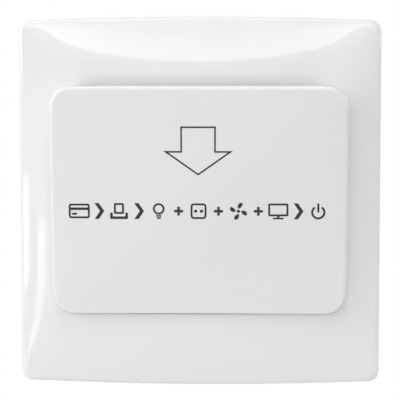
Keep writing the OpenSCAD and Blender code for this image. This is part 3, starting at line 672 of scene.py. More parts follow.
def metal(name, colour, rough, lines=900.0, bump=0.08, darker=0.82):
    """A plain or plated metal with drawing lines and slight stains."""
    if name in bpy.data.materials:
        return bpy.data.materials[name]
    material = new_material(name)
    material.node_tree.nodes["Principled BSDF"].inputs["Metallic"].default_value = 1.0
    skin = material.node_tree.nodes.new("ShaderNodeGroup")
    skin.node_tree = drawn_skin()
    skin.inputs["Lines"].default_value = lines
    two_tones(material, skin.outputs["Stain"], colour, darker)
    spread(material, skin.outputs["Stain"], rough[0], rough[1], "Roughness")
    relief(material, skin.outputs["Height"], bump, depth=0.1 * MM)
    return material


def gloss_white(context):
    colour = context.scene.key_finishes.gloss_white
    return plastic("gloss_white", colour, (0.03, 0.055), share=0.06, bump=0.006, darker=0.985)


def print_ink(context):
    colour = context.scene.key_finishes.ink
    return plastic(
        "print_ink", colour, (0.35, 0.5), grain=6000.0, share=0.7, bump=0.1, depth=0.03 * MM, darker=0.6
    )


def zinc(context):
    return metal("zinc", context.scene.key_finishes.zinc, (0.25, 0.42))


def frame_plastic(context):
    colour = context.scene.key_finishes.frame
    return plastic("frame_plastic", colour, (0.42, 0.56), share=0.7, bump=0.12)


def housing_plastic(context):
    colour = context.scene.key_finishes.housing
    return plastic("housing_plastic", colour, (0.45, 0.6), share=0.7, bump=0.16)


def terminal_plastic(context):
    colour = context.scene.key_finishes.terminal
    return plastic("terminal_plastic", colour, (0.4, 0.55), share=0.7, bump=0.14, darker=0.92)


def spring_steel(context):
    return metal("spring_steel", context.scene.key_finishes.steel, (0.22, 0.36), lines=1800.0)


def plunger_plastic(context):
    colour = context.scene.key_finishes.plunger
    return plastic("plunger_plastic", colour, (0.25, 0.4), share=0.4, bump=0.08, darker=0.85)


def lever_acetal(context):
    colour = context.scene.key_finishes.lever
    return plastic("lever_acetal", colour, (0.3, 0.44), share=0.5, bump=0.08, darker=0.95)


# Shapes that several pieces share

def crown_share(sizes):
    """How far a point of the plate rises, as a share of the crown: all in the middle, none at the outline."""

    def share(point):
        across = min(1, abs(2 * point.x / sizes.width))
        up = min(1, abs(point.z) / (sizes.height / 2 - sizes.bow * across * across))
        gentle = sizes.dome * across ** DOME_POWER
        steep = (1 - sizes.dome) * across ** RIM_POWER
        return (1 - gentle - steep) * (1 - up ** UP_POWER)

    return share


def panel_slope(panel):
    return (panel.rise_top - panel.rise_bottom) / panel.height


def panel_front(plate, panel, z):
    """Place along Y of the panel's front."""
    low = panel.middle - panel.height / 2
    return -plate.floor - panel.rise_bottom - (z - low) * panel_slope(panel)


def way_places(terminals):
    """Places of the terminals' ways across, from left to right as seen from the front."""
    return [(k - (TERMINAL_WAYS - 1) / 2) * terminals.pitch for k in range(TERMINAL_WAYS)]


def boss(name, x, side, h, start, end, radius):
    """Screw boss over or under the housing, round outside and with a web that goes into the wall."""
    web = 1 * MM
    low = h.height / 2 - web
    high = h.boss_z + radius
    clear_selection()
    bpy.ops.mesh.primitive_plane_add(
        size=1, location=(x, start, side * (low + high) / 2), rotation=(math.pi / 2, 0, 0)
    )
    bpy.context.active_object.scale = (2 * radius, high - low, 1)
    made = begin(name)
    enter_edit(made)
    pick(made, "VERT", lambda vertex: side * vertex.co.z > h.boss_z)
    # a little less than the radius, so that the two arcs don't meet
    bpy.ops.mesh.bevel(offset=0.999 * radius, segments=14, profile=0.5, affect="VERTICES")
    bpy.ops.mesh.select_mode(type="FACE")
    bpy.ops.mesh.select_all(action="SELECT")
    push_face(end - start)
    leave_edit()
    return close_up(made)


# Pieces

class KEYSWITCH_OT_plate(bpy.types.Operator):
    """Crowned plate with the card pocket's recess and ramp"""

    bl_idname = "keyswitch.plate"
    bl_label = "Plate"

    def crowned_body(self, s):
        plate = rounded_sheet("plate", s.width, s.height, s.corner, -s.gap, arc=8, cuts=47)
        start = -s.rim + s.edge
        rings = [(-s.gap, 1, 1), (start, 1, 1)]
        steps = 7
        for step in range(1, steps + 1):
            angle = math.radians(90 * step / steps)
            inset = s.edge * (1 - math.cos(angle))
            place = -s.rim + s.edge * (1 - math.sin(angle))
            rings.append((place, 1 - 2 * inset / s.width, 1 - 2 * inset / s.height))
        wide, high = rings[-1][1:]
        # close together near the rim, where the crown is steep, and wide apart in the middle
        shares = [1 - 0.022 * step for step in range(1, 20)] + [0.5, 0.4, 0.3, 0.2, 0.1, 0.03]
        rings += [(-s.rim, wide * share, high * share) for share in shares]
        push_along(rings)
        leave_edit()
        half = s.height / 2
        move_by(plate, "bow_top", -s.bow, "Z", lambda p: max(0, p.z / half) * (2 * p.x / s.width) ** 2)
        move_by(plate, "bow_bottom", s.bow, "Z", lambda p: max(0, -p.z / half) * (2 * p.x / s.width) ** 2)
        share = crown_share(s)
        move_by(plate, "crown", -s.crown, "Y", lambda p: share(p) if p.y < start + TINY else 0)
        return plate

    def recess(self, s, p):
        """Tool for the pocket's recess, flared along the crown so that its edge comes out round."""
        wide = p.width + 2 * p.seam
        high = p.height + p.seam + p.seam_bottom
        middle = p.middle + (p.seam - p.seam_bottom) / 2
        tool = rounded_sheet("recess", wide, high, p.corner + p.seam, -s.floor, middle, arc=10, cuts=30)
        foot = 0.1 * MM
        # the flare is built this far in front, where it can be told from the foot, and then moved back
        away = 5 * MM
        rings = [(-s.floor, 1, 1), (-s.floor - foot, 1, 1)]
        for step in range(EDGE_STEPS + 1):
            angle = math.radians(90 * step / EDGE_STEPS)
            grow = 2 * s.lip * (1 - math.cos(angle))
            place = -s.rim + s.lip * (1 - math.sin(angle)) - away
            rings.append((place, 1 + grow / wide, 1 + grow / high))
        rings.append((-s.rim - 3 * away, rings[-1][1], rings[-1][2]))
        push_along(rings, middle)
        leave_edit()
        move_by(tool, "back", away, "Y", lambda q: 1 if q.y < -s.floor - 11 * foot else 0)
        share = crown_share(s)
        move_by(tool, "crown", -s.crown, "Y", lambda q: share(q) if abs(q.y + s.floor) > 1.2 * foot else 0)
        return close_up(tool)

    def bend(self, s, p, tool):
        """Bends a straight tool of the ramp along the crown, and sinks its ends to the panel's top."""
        reach = p.slot / 2
        crest = p.middle + p.height / 2 + s.lead_in
        enter_edit(tool)
        pick(tool, "EDGE", lambda edge: abs(edge.verts[0].co.x - edge.verts[1].co.x) > reach)
        bpy.ops.mesh.subdivide(number_cuts=80)
        leave_edit()

        def sink(point):
            lost = 1 - (reach - abs(point.x)) / s.run_out
            return min(1, max(0, lost)) ** RUN_OUT_POWER

        def rise(point):
            return share(Vector((point.x, 0, crest - s.lead_in * sink(point))))

        share = crown_share(s)
        move_by(tool, "crown", -s.crown, "Y", rise)
        move_by(tool, "sink", -s.lead_in, "Z", sink)
        return close_up(tool)

    def pocket(self, s, p):
        """Tool for the recess and for the ramp over it, whose crest rolls over into the crown."""
        top = p.middle + p.height / 2
        reach = p.slot / 2
        crest = top + s.lead_in
        room = block("ramp", (-reach, -16 * MM, top - OVER), (reach, -s.floor + s.crown, crest))
        # the roll is a little shorter than its room and stands a little out of the crown
        short, proud = 0.05 * MM, 0.03 * MM
        middle = -s.rim + s.roll - proud
        roll = rod("roll", "X", (-reach + short, middle, crest), reach - short, s.roll, 128)
        return cut(add(self.recess(s, p), self.bend(s, p, room)), self.bend(s, p, roll))

    def open_floor(self, plate, inner_high):
        """Cuts the toe's window, the screw holes and the notch for prising the plate off."""
        front, rear = -7 * MM, -3 * MM
        cut(plate, block("toe_window", (-TOE_WINDOW, front, -23.1 * MM), (TOE_WINDOW, rear, -15.95 * MM)))
        for x, z in corners(PANEL_SCREW_X, PANEL_SCREW_Z):
            cut(plate, rod("screw_hole", "Y", (x, front, z), rear, PANEL_SCREW_BORE, 32))
        half, deep = 6 * MM, 1.6 * MM
        cut(plate, block("notch", (-half, -deep, -50 * MM), (half, OVER, -inner_high / 2 + ROOT)))

    def add_hooks(self, plate, root):
        """Adds the snap hooks, whose barbs grip behind the frame's edges."""
        half, end, barb_start = 4 * MM, -0.4 * MM, -1.2 * MM
        for x, side in corners(HOOK_X, (-1, 1)):
            arm = sorted((side * 36.4 * MM, side * 38 * MM))
            barb = sorted((side * 35.5 * MM, side * 36.9 * MM))
            hook = block("hook", (x - half, root, arm[0]), (x + half, end, arm[1]))
            add(hook, block("barb", (x - half, barb_start, barb[0]), (x + half, end, barb[1])))
            add(plate, soften(hook, 0.25 * MM, 2))

    def add_pads(self, plate, root):
        """Adds the pads that rest on the frame."""
        end, radius = -2.2 * MM, 2.4 * MM
        for x, z in corners(29 * MM, both(31 * MM)):
            pad = rod("pad", "Y", (x, root, z), end, radius, 40)
            add(plate, soften(pad, 0.3 * MM, 2))

    def execute(self, context):
        s = context.scene.key_plate
        p = context.scene.key_panel
        plate = self.crowned_body(s)
        inner_wide = s.width - 2 * s.wall
        inner_high = s.height - 2 * s.bow - 2 * s.wall
        floor_rear = s.floor_wall - s.floor
        cavity = rounded_sheet("cavity", inner_wide, inner_high, s.corner, floor_rear, arc=8)
        push_face(6 * MM)
        leave_edit()
        cut(plate, close_up(cavity), self.pocket(s, p))
        self.open_floor(plate, inner_high)
        self.add_hooks(plate, floor_rear - ROOT)
        self.add_pads(plate, floor_rear - ROOT)
        settle(close_up(plate), "cover", "white_gloss", gloss_white(context), "front_plate")
        return {"FINISHED"}


class KEYSWITCH_OT_panel(bpy.types.Operator):
    """Sloping panel in front of the card, with its pocket"""

    bl_idname = "keyswitch.panel"
    bl_label = "Pocket panel"

    def round_front(self, p, panel, front, low):
        """Rounds the front edge, less along the bottom."""
        weights = panel.data.attributes.new("bevel_weight_edge", "FLOAT", "EDGE")
        least = p.edge_bottom / p.edge
        for edge in panel.data.edges:
            ends = [panel.data.vertices[index].co for index in edge.vertices]
            if max(end.y for end in ends) > front + TINY:
                continue
            share = min(1, max(0, ((ends[0].z + ends[1].z) / 2 - low) / p.corner))
            weights.data[edge.index].value = least + (1 - least) * share
        modify(panel, "BEVEL", width=p.edge, segments=7, limit_method="WEIGHT", use_clamp_overlap=True)

    def execute(self, context):
        s = context.scene.key_plate
        p = context.scene.key_panel
        low = p.middle - p.height / 2
        high = p.middle + p.height / 2
        slope = panel_slope(p)
        panel = rounded_sheet("panel", p.width, p.height, p.corner, -s.floor, p.middle, arc=16, cuts=12)
        push_face(-p.rise_bottom)
        leave_edit()
        front = -s.floor - p.rise_bottom
        move_by(panel, "slope", -(p.rise_top - p.rise_bottom), "Y",
                lambda q: (q.z - low) / p.height if q.y < front + TINY else 0)
        self.round_front(p, panel, front, low)
        inside = p.wall * math.sqrt(1 + slope * slope)
        stop = low + p.stop
        toe_bottom = low + 3.55 * MM
        for name, reach, bottom in (("pocket", p.slot / 2, stop), ("toe_room", TOE_WINDOW, toe_bottom)):
            tool = block(name, (-reach, -30 * MM, bottom), (reach, -s.floor + OVER, high + OVER))
            slice_off(tool, (0, panel_front(s, p, 0) + inside, 0), (0, -1, -slope))
            if name == "toe_room":
                slice_off(tool, (0, 0, stop + OVER), (0, 0, 1))
            cut(panel, tool)
        hole_front, hole_rear = -8.3 * MM, -5 * MM
        for x, z in corners(PANEL_SCREW_X, PANEL_SCREW_Z):
            cut(panel, rod("screw_hole", "Y", (x, hole_front, z), hole_rear, PANEL_SCREW_BORE, 32))
        settle(close_up(panel), "cover", "white_gloss", gloss_white(context), "pocket_panel", angle=30)
        return {"FINISHED"}


class InkSheet:
    """Flat shapes drawn side by side on an upright sheet, in metres from the sheet's middle."""

    def __init__(self):
        self.shapes = []

    def keep(self, name):
        leave_edit()
        shape = bpy.context.active_object
        shape.name = name
        self.shapes.append(shape)
        return shape

    def outline(self, points):
        """Closed outline with its face, left in edit mode with the face selected."""
        clear_selection()
        bpy.ops.mesh.primitive_circle_add(
            vertices=len(points), radius=1 * MM, fill_type="NGON", rotation=(math.pi / 2, 0, 0)
        )
        shape = begin("outline")
        for vertex, (x, z) in zip(shape.data.vertices, points):
            vertex.co = (x, 0, z)
        enter_edit(shape)
        bpy.ops.mesh.select_all(action="SELECT")
        bpy.ops.mesh.normals_make_consistent(inside=False)
        bpy.ops.mesh.select_mode(type="FACE")
        bpy.ops.mesh.select_all(action="SELECT")
        return shape

    def filled(self, points):
        self.outline(points)
        return self.keep("fill")

    def lined(self, points, line):
        """Outline of the given line width, inside the points."""
        self.outline(points)
        bpy.ops.mesh.inset(thickness=line, use_boundary=True, use_even_offset=True)
        bpy.ops.mesh.delete(type="FACE")
        return self.keep("line")

    def disc(self, x, z, radius, sides=28):
        return self.filled(ring_points(x, z, radius, radius, sides))

    def ring(self, x, z, radius, line, sides=32, gap=None):
        """Ring, with an opening at the top if a half angle is given."""
        shape = self.lined(ring_points(x, z, radius, radius, sides), line)
        if gap:
            def at_top(face):
                middle = face.calc_center_median()
                return abs(math.atan2(middle.x - x, middle.z - z)) < gap

            enter_edit(shape)
            pick(shape, "FACE", at_top)
            bpy.ops.mesh.delete(type="FACE")
            leave_edit()
        return shape

    def frame(self, x, z, wide, high, line, corner):
        return self.lined(box_points(x, z, wide, high, corner), line)

    def pane(self, x, z, wide, high, corner):
        return self.filled(box_points(x, z, wide, high, corner))

    def made(self, name, ink):
        """Joins the shapes and gives them the ink's thickness."""
        clear_selection()
        for shape in self.shapes:
            shape.select_set(True)
        bpy.context.view_layer.objects.active = self.shapes[0]
        if len(self.shapes) > 1:
            bpy.ops.object.join()
        sheet = bpy.context.active_object
        sheet.name = name
        sheet.data.name = name
        enter_edit(sheet)
        bpy.ops.mesh.select_all(action="SELECT")
        bpy.ops.mesh.extrude_region_move(TRANSFORM_OT_translate={"value": (0, -ink, 0)})
        bpy.ops.mesh.select_all(action="SELECT")
        bpy.ops.mesh.normals_make_consistent(inside=False)
        leave_edit()
        return sheet


def ring_points(x, z, wide, high, sides):
    turns = [2 * math.pi * k / sides for k in range(sides)]
    return [(x + wide * math.sin(t), z + high * math.cos(t)) for t in turns]


def box_points(x, z, wide, high, corner, arc=4):
    points = []
    for k, (sx, sz) in enumerate(((1, 1), (1, -1), (-1, -1), (-1, 1))):
        for step in range(arc + 1):
            turn = math.pi / 2 * (k + step / arc)
            points.append((
                x + sx * (wide / 2 - corner) + corner * math.sin(turn),
                z + sz * (high / 2 - corner) + corner * math.cos(turn),
            ))
    return points


class KEYSWITCH_OT_prints(bpy.types.Operator):
    """Outline arrow and row of signs printed on the panel"""

    bl_idname = "keyswitch.prints"
    bl_label = "Arrow and signs"

    def lay_on_panel(self, context, sheet):
        """Lays an upright sheet on the sloping front, its middle at the height of the fixing holes."""
        s, p = context.scene.key_plate, context.scene.key_panel
        bite = 0.008 * MM
        take(sheet)
        sheet.location = (0, panel_front(s, p, 0) + bite, 0)
        sheet.rotation_euler = (math.atan(panel_slope(p)), 0, 0)
        bpy.ops.object.transform_apply(location=True, rotation=True, scale=True)
        settle(sheet, "cover", "switch_black", print_ink(context))

    def arrow(self, t, up):
        sheet = InkSheet()
        x = -0.16 * MM
        top, neck, tip = t.arrow_top * up, t.arrow_neck * up, t.arrow_tip * up
        sheet.lined([
            (x - t.shaft, top), (x + t.shaft, top), (x + t.shaft, neck), (x + t.head, neck), (x, tip),
            (x - t.head, neck), (x - t.shaft, neck),
        ], t.line)
        return sheet.made("arrow", t.ink)

    def signs(self, t, up):
        """Row of signs: card, into the slot, then what the card switches on."""
        sheet = InkSheet()
        h = t.sign
        z = t.row * up
        line, thin = 0.16 * h, 0.12 * h
        middle = -0.1 * MM
        pitch = t.row_width / 13

        def at(k):
            return middle + (k - 6) * pitch

        def chevron(x):
            top, bottom = z + 0.5 * h, z - 0.5 * h
            sheet.filled([
                (x - 0.28 * h, top), (x - 0.02 * h, top), (x + 0.32 * h, z), (x - 0.02 * h, bottom),
                (x - 0.28 * h, bottom), (x + 0.06 * h, z),
            ])

        def plus(x):
            sheet.pane(x, z, 0.56 * h, line, 0.1 * line)
            sheet.pane(x, z + 0.18 * h, line, 0.2 * h, 0.1 * line)
            sheet.pane(x, z - 0.18 * h, line, 0.2 * h, 0.1 * line)

        # card with its stripe
        sheet.frame(at(0), z, 1.3 * h, 0.92 * h, thin, 0.14 * h)
        sheet.pane(at(0), z + 0.14 * h, 1.1 * h, 0.16 * h, 0.01 * h)
        sheet.pane(at(0) - 0.3 * h, z - 0.18 * h, 0.3 * h, thin, 0.01 * h)
        chevron(at(1))
        # card standing in its slot
        sheet.frame(at(2), z + 0.16 * h, 0.62 * h, 0.68 * h, thin, 0.08 * h)
        sheet.pane(at(2), z - 0.42 * h, 1.1 * h, 0.16 * h, 0.02 * h)
        for side in (-1, 1):
            sheet.pane(at(2) + side * 0.47 * h, z - 0.22 * h, line, 0.24 * h, 0.02 * h)
        chevron(at(3))
        # lamp
        sheet.ring(at(4), z + 0.14 * h, 0.36 * h, thin)
        sheet.pane(at(4), z - 0.3 * h, 0.34 * h, 0.1 * h, 0.02 * h)
        sheet.pane(at(4), z - 0.44 * h, 0.26 * h, 0.1 * h, 0.02 * h)
        plus(at(5))
        # outlet
        sheet.frame(at(6), z, 0.98 * h, 0.98 * h, thin, 0.2 * h)
        for side in (-1, 1):
            sheet.disc(at(6) + side * 0.18 * h, z, 0.1 * h)
        plus(at(7))
        # fan, with its blades given outwards and sideways
        sheet.disc(at(8), z, 0.1 * h)
        blade = [
            (0.15, 0.0), (0.26, -0.05), (0.42, -0.02), (0.52, 0.09), (0.53, 0.22), (0.44, 0.28), (0.28, 0.2)
        ]
        for k in range(4):
            turn = math.pi * k / 2
            out, side = (math.sin(turn), math.cos(turn)), (math.cos(turn), -math.sin(turn))
            sheet.filled([
                (at(8) + h * (a * out[0] + b * side[0]), z + h * (a * out[1] + b * side[1])) for a, b in blade
            ])
        plus(at(9))
        # screen
        sheet.frame(at(10), z + 0.09 * h, 1.24 * h, 0.8 * h, thin, 0.08 * h)
        sheet.pane(at(10), z - 0.45 * h, 0.66 * h, 0.1 * h, 0.02 * h)
        sheet.pane(at(10), z - 0.355 * h, 0.16 * h, 0.08 * h, 0.005 * h)
        chevron(at(11))
        # power sign
        sheet.ring(at(12), z - 0.06 * h, 0.44 * h, 0.13 * h, gap=0.62)
        sheet.pane(at(12), z + 0.22 * h, 0.13 * h, 0.56 * h, 0.02 * h)
        return sheet.made("signs", t.ink)

    def execute(self, context):
        t = context.scene.key_prints
        up = math.sqrt(1 + panel_slope(context.scene.key_panel) ** 2)
        self.lay_on_panel(context, self.arrow(t, up))
        self.lay_on_panel(context, self.signs(t, up))
        return {"FINISHED"}


class KEYSWITCH_OT_frame(bpy.types.Operator):
    """Mounting frame with its rib, posts, lugs and fixing holes"""

    bl_idname = "keyswitch.frame"
    bl_label = "Mounting frame"

    def seat(self, f, h):
        """Tool for the recess that the housing and its bosses seat in."""
        grow = 0.2 * MM
        tool = rounded_slab("seat", h.width + 2 * grow, h.height + 2 * grow, h.corner + grow, -f.seat, OVER)
        for x, side in corners(h.boss_x, (-1, 1)):
            add(tool, boss("seat_boss", x, side, h, -f.seat, OVER, h.boss + grow))
        return tool

    def ribbed_slab(self, f, h):
        """Slab with the housing's seat in its rear and a ring of rib on its front."""
        slab = rounded_slab("frame", f.width, f.height, f.corner, 0, -f.thick, f.edge)
        cut(slab, self.seat(f, h))
        # how much smaller the ring is than the housing, outside and inside
        outer, inner = 2 * MM, 6 * MM
        rib = rounded_slab(
            "rib", h.width - outer, h.height - outer, 3 * MM, -f.thick + ROOT, -f.thick - f.rib, 0.2 * MM
        )
        inside = rounded_slab(
            "inside", h.width - inner, h.height - inner, 2 * MM, -f.thick + OVER, -f.thick - 2 * OVER
        )
        return add(slab, cut(rib, inside))

    def add_posts(self, f, slab, root):
        """Adds the posts that carry the board."""
        end, bore_start, bore = 11 * MM, 5.4 * MM, 1.13 * MM
        for x, z in corners(20 * MM, (-10.4 * MM, 20 * MM)):
            post = rod("post", "Y", (x, root, z), end, f.post, 40)
            cut(post, rod("post_bore", "Y", (x, bore_start, z), end + OVER, bore, 32))
            add(slab, soften(post, 0.2 * MM, 2))

    def add_lugs(self, v, slab, root):
        """Adds the lugs for the lever's pin, and the rest for the spring's leg."""
        half, end = 2.5 * MM, 8 * MM
        for side in (-1, 1):
            across = sorted((side * 8.9 * MM, side * 11.4 * MM))
            lug = block("lug", (across[0], root, v.axle_z - half), (across[1], end, v.axle_z + half))
            add(slab, soften(lug, 0.4 * MM))
        low, high = v.axle_z + 2.9 * MM, v.axle_z + 4.4 * MM
        rest = block("rest", (-2.85 * MM, root, low), (-1.45 * MM, 6.33 * MM, high))
        add(slab, soften(rest, 0.2 * MM, 2))
        reach, bore = 20 * MM, 1.03 * MM
        cut(slab, rod("pin_bore", "X", (-reach, v.axle_y, v.axle_z), reach, bore, 32))

    def cut_holes(self, f, h, slab):
        """Cuts the fixing holes with their pockets, the housing screws' holes and the slots for the hooks."""
        front, mouth = -4 * MM, -f.thick - 0.1 * MM
        for side in (-1, 1):
            x = side * f.pitch / 2
            cut(slab, rod("fixing_hole", "Y", (x, front, 0), OVER, f.hole))
            cut(slab, rod("head_pocket", "Y", (x, front, 0), -1.2 * MM, f.pocket, 64))
            cut(slab, taper(
                "pocket_mouth", x, 0, mouth, -f.thick + 0.3 * MM, f.pocket + 0.4 * MM, f.pocket, 64
            ))
            x = side * h.boss_x
            for z in both(h.boss_z):
                cut(slab, rod("screw_hole", "Y", (x, front, z), OVER, HOUSING_SCREW_BORE))
                cut(slab, taper("countersink", x, z, mouth, -1 * MM, 2.42 * MM, HOUSING_SCREW_BORE))
            low, high, half, deep = f.height / 2 - 1.1 * MM, f.height / 2 + OVER, 4.5 * MM, 1.3 * MM
            x = side * HOOK_X
            for end in (-1, 1):
                up = sorted((end * low, end * high))
                cut(slab, block("hook_slot", (x - half, -deep, up[0]), (x + half, OVER, up[1])))

    def execute(self, context):
        f = context.scene.key_frame
        h = context.scene.key_housing
        v = context.scene.key_lever
        slab = self.ribbed_slab(f, h)
        root = -f.seat - ROOT
        self.add_posts(f, slab, root)
        self.add_lugs(v, slab, root)
        self.cut_holes(f, h, slab)
        window = block("window", (-TOE_WINDOW, -4 * MM, -20.97 * MM), (TOE_WINDOW, 2 * MM, -17.4 * MM))
        cut(slab, soften(window, 0.3 * MM, 2))
        settle(close_up(slab), "base", "frame_plastic", frame_plastic(context), "mounting_frame")
        return {"FINISHED"}


class KEYSWITCH_OT_housing(bpy.types.Operator):
    """Housing with its bosses, vents and terminal opening"""

    bl_idname = "keyswitch.housing"
    bl_label = "Housing"

    def number(self, text, x, z, size, y):
        """Solid figure that reads from behind."""
        clear_selection()
        bpy.ops.object.text_add()
        figure = bpy.context.active_object
        figure.data.body = text
        figure.data.size = size * FIGURE_SCALE
        figure.data.extrude = 0.45 * MM
        figure.data.offset = 0.03 * MM
        figure.data.resolution_u = 4
        figure.data.align_x = "CENTER"
        figure.data.align_y = "CENTER"
        bpy.ops.object.convert(target="MESH")
        figure = bpy.context.active_object
        figure.location = (x, y, z)
        figure.rotation_euler = (math.pi / 2, 0, math.pi)
        return close_up(begin("number"), 0.02 * MM)

    def bossed_shell(self, h, seat):
        """Shell with its bosses, open to the front."""
        shell = rounded_slab("housing", h.width, h.height, h.corner, -seat, h.depth, h.edge, h.draft)
        # the bosses start a little behind the shell's front, so that no two faces coincide
        start = 0.02 * MM - seat
        for x, side in corners(h.boss_x, (-1, 1)):
            add(shell, soften(boss("boss", x, side, h, start, h.boss_depth, h.boss), 0.5 * MM))
        wide, high = h.width - 2 * h.wall, h.height - 2 * h.wall
        return cut(shell, rounded_slab("cavity", wide, high, h.corner / 2, -seat - OVER, h.depth - h.wall))

    def cut_openings(self, h, t, shell):
        """Cuts the bores for the screws, the opening for the terminals and the vents."""
        for x, z in corners(h.boss_x, both(h.boss_z)):
            cut(shell, rod("screw_bore", "Y", (x, -2 * MM, z), 7 * MM, HOUSING_SCREW_BORE, 32))
        gap, past = 0.2 * MM, 40 * MM
        reach = t.width / 2 + gap
        cut(shell, block("opening", (-reach, t.front - gap, -past), (reach, past, t.top + gap)))
        pitch, half, front, rear = 7 * MM, 2.4 * MM, 18 * MM, 19.6 * MM
        for k in range(-2, 3):
            x = pitch * k
            vent = block("vent", (x - half, front, 22 * MM), (x + half, rear, 30 * MM))
            cut(shell, soften(vent, 0.5 * MM))

    def cut_marks(self, h, t, shell):
        """Cuts the rear's bare field, the marks of the pins that push the moulding out, and the numbers."""
        past = h.depth + OVER
        field = rounded_slab("field", 30 * MM, 14 * MM, 1.5 * MM, h.depth - 0.3 * MM, past)
        take(field)
        field.location = (0, 0, 6.5 * MM)
        cut(shell, begin("field"))
        for x, z in corners(19 * MM, (-7.5 * MM, 19.5 * MM)):
            cut(shell, rod("pin_mark", "Y", (x, h.depth - 0.12 * MM, z), past, 1.7 * MM, 40))
        height = t.top + 2.7 * MM
        for k, x in enumerate(reversed(way_places(t)), 1):
            figure = self.number(str(k), x, height, h.number, h.depth)
            combine(shell, figure, "DIFFERENCE", crossing=True)

    def execute(self, context):
        h = context.scene.key_housing
        t = context.scene.key_terminals
        shell = self.bossed_shell(h, context.scene.key_frame.seat)
        self.cut_openings(h, t, shell)
        self.cut_marks(h, t, shell)
        settle(close_up(shell), "base", "housing_plastic", housing_plastic(context), "rear_housing")
        return {"FINISHED"}


class KEYSWITCH_OT_terminals(bpy.types.Operator):
    """Terminal block with its wells and wire entries, and the terminal screws"""

    bl_idname = "keyswitch.terminals"
    bl_label = "Terminals"

    def moulding(self, t, rear):
        """Block with grooves between its ways, wells for the screws, wire entries and holes for the tails."""
        reach = t.width / 2
        body = soften(block("terminals", (-reach, t.front, t.bottom), (reach, rear, t.top)), 0.4 * MM)
        half, deep = 0.4 * MM, 0.6 * MM
        below = t.bottom - OVER
        for k in range(TERMINAL_WAYS - 1):
            left, right = (k - 1) * t.pitch - half, (k - 1) * t.pitch + half
            cut(body, block("groove", (left, rear - deep, below), (right, rear + OVER, 0)))
            cut(body, block("groove", (left, 14.5 * MM, below), (right, 40 * MM, t.bottom + deep)))
        flare, entry_half, tail_half, tail_high = 0.6 * MM, 3.2 * MM, 0.7 * MM, 0.5 * MM
        for x in way_places(t):
            cut(body, rod("well", "Y", (x, 25.5 * MM, t.screw_z), rear + OVER, t.well))
            cut(body, taper(
                "mouth", x, t.screw_z, rear - 0.5 * MM, rear + 0.1 * MM, t.well, t.well + flare
            ))
            entry = block(
                "entry", (x - entry_half, 18.4 * MM, t.bottom - 2 * OVER),
                (x + entry_half, 26 * MM, -16.1 * MM)
            )
            cut(body, soften(entry, 0.2 * MM, 2))
            cut(body, block(
                "tail", (x - tail_half, 12 * MM, t.screw_z - tail_high),
                (x + tail_half, 19 * MM, t.screw_z + tail_high)
            ))
        return close_up(body)

    def screws(self, t):
        screw = rod("wire_screws", "Y", (0, 26.4 * MM, 0), 28.4 * MM, t.head, 56)
        soften(screw, 0.35 * MM, 4)
        add(screw, rod("shank", "Y", (0, 23.8 * MM, 0), 27 * MM, 1.4 * MM, 40))
        reach, half = 3 * MM, 0.4 * MM
        close_up(cut(screw, block("slot", (-reach, 27.5 * MM, -half), (reach, 29 * MM, half))))
        return copies(screw, [(x, t.screw_z) for x in way_places(t)], (14, -38, 82, 27))

    def execute(self, context):
        t = context.scene.key_terminals
        rear = context.scene.key_housing.depth
        settle(self.moulding(t, rear), "base", "terminal_grey", terminal_plastic(context), "terminal_block")
        settle(self.screws(t), "base", "zinc_steel", zinc(context), "terminal_screws")
        return {"FINISHED"}


class KEYSWITCH_OT_screws(bpy.types.Operator):
    """Cross-slotted screws of the panel and the housing"""

    bl_idname = "keyswitch.screws"
    bl_label = "Screws"

    def cross(self, y, depth, reach):
        """Tool for a cross slot, cut from a head's end."""
        low, high = sorted((y + depth, y - depth))
        half = 0.3 * MM
        one = block("cross", (-reach, low, -half), (reach, high, half))
        return add(one, block("bar", (-half, low, -reach), (half, high, reach)))

    def pan_head(self):
        """Screw whose head stands behind the plate's floor."""
        seat, end = -4 * MM, -2.8 * MM
        screw = rod("pan_head_screws", "Y", (0, seat, 0), end, 2 * MM, 56)
        enter_edit(screw)
        pick(screw, "EDGE", lambda edge: min(v.co.y for v in edge.verts) > end - 5 * TINY)
        bpy.ops.mesh.bevel(offset=0.7 * MM, segments=5, profile=0.5, affect="EDGES")
        leave_edit()
        add(screw, rod("shank", "Y", (0, -8 * MM, 0), seat + ROOT, 1 * MM, 32))
        return close_up(cut(screw, self.cross(end, 0.7 * MM, 1.2 * MM)))

    def flat_head(self):
        """Countersunk screw, flush with the frame's front."""
        front, shank = -2.2 * MM, 1.2 * MM
        screw = taper("flat_head_screws", 0, 0, front, -1.1 * MM, 2.3 * MM, shank)
        add(screw, rod("shank", "Y", (0, -1.5 * MM, 0), 6.5 * MM, shank, 40))
        return close_up(cut(screw, self.cross(front, 0.6 * MM, 1.3 * MM)))

    def execute(self, context):
        h = context.scene.key_housing
        panel = copies(self.pan_head(), corners(PANEL_SCREW_X, PANEL_SCREW_Z), (12, 70, 51, 33))
        settle(panel, "cover", "zinc_steel", zinc(context), "panel_screws")
        housing = copies(self.flat_head(), corners(h.boss_x, both(h.boss_z)), (24, 8, 63, 40))
        settle(housing, "base", "zinc_steel", zinc(context), "housing_screws")
        return {"FINISHED"}


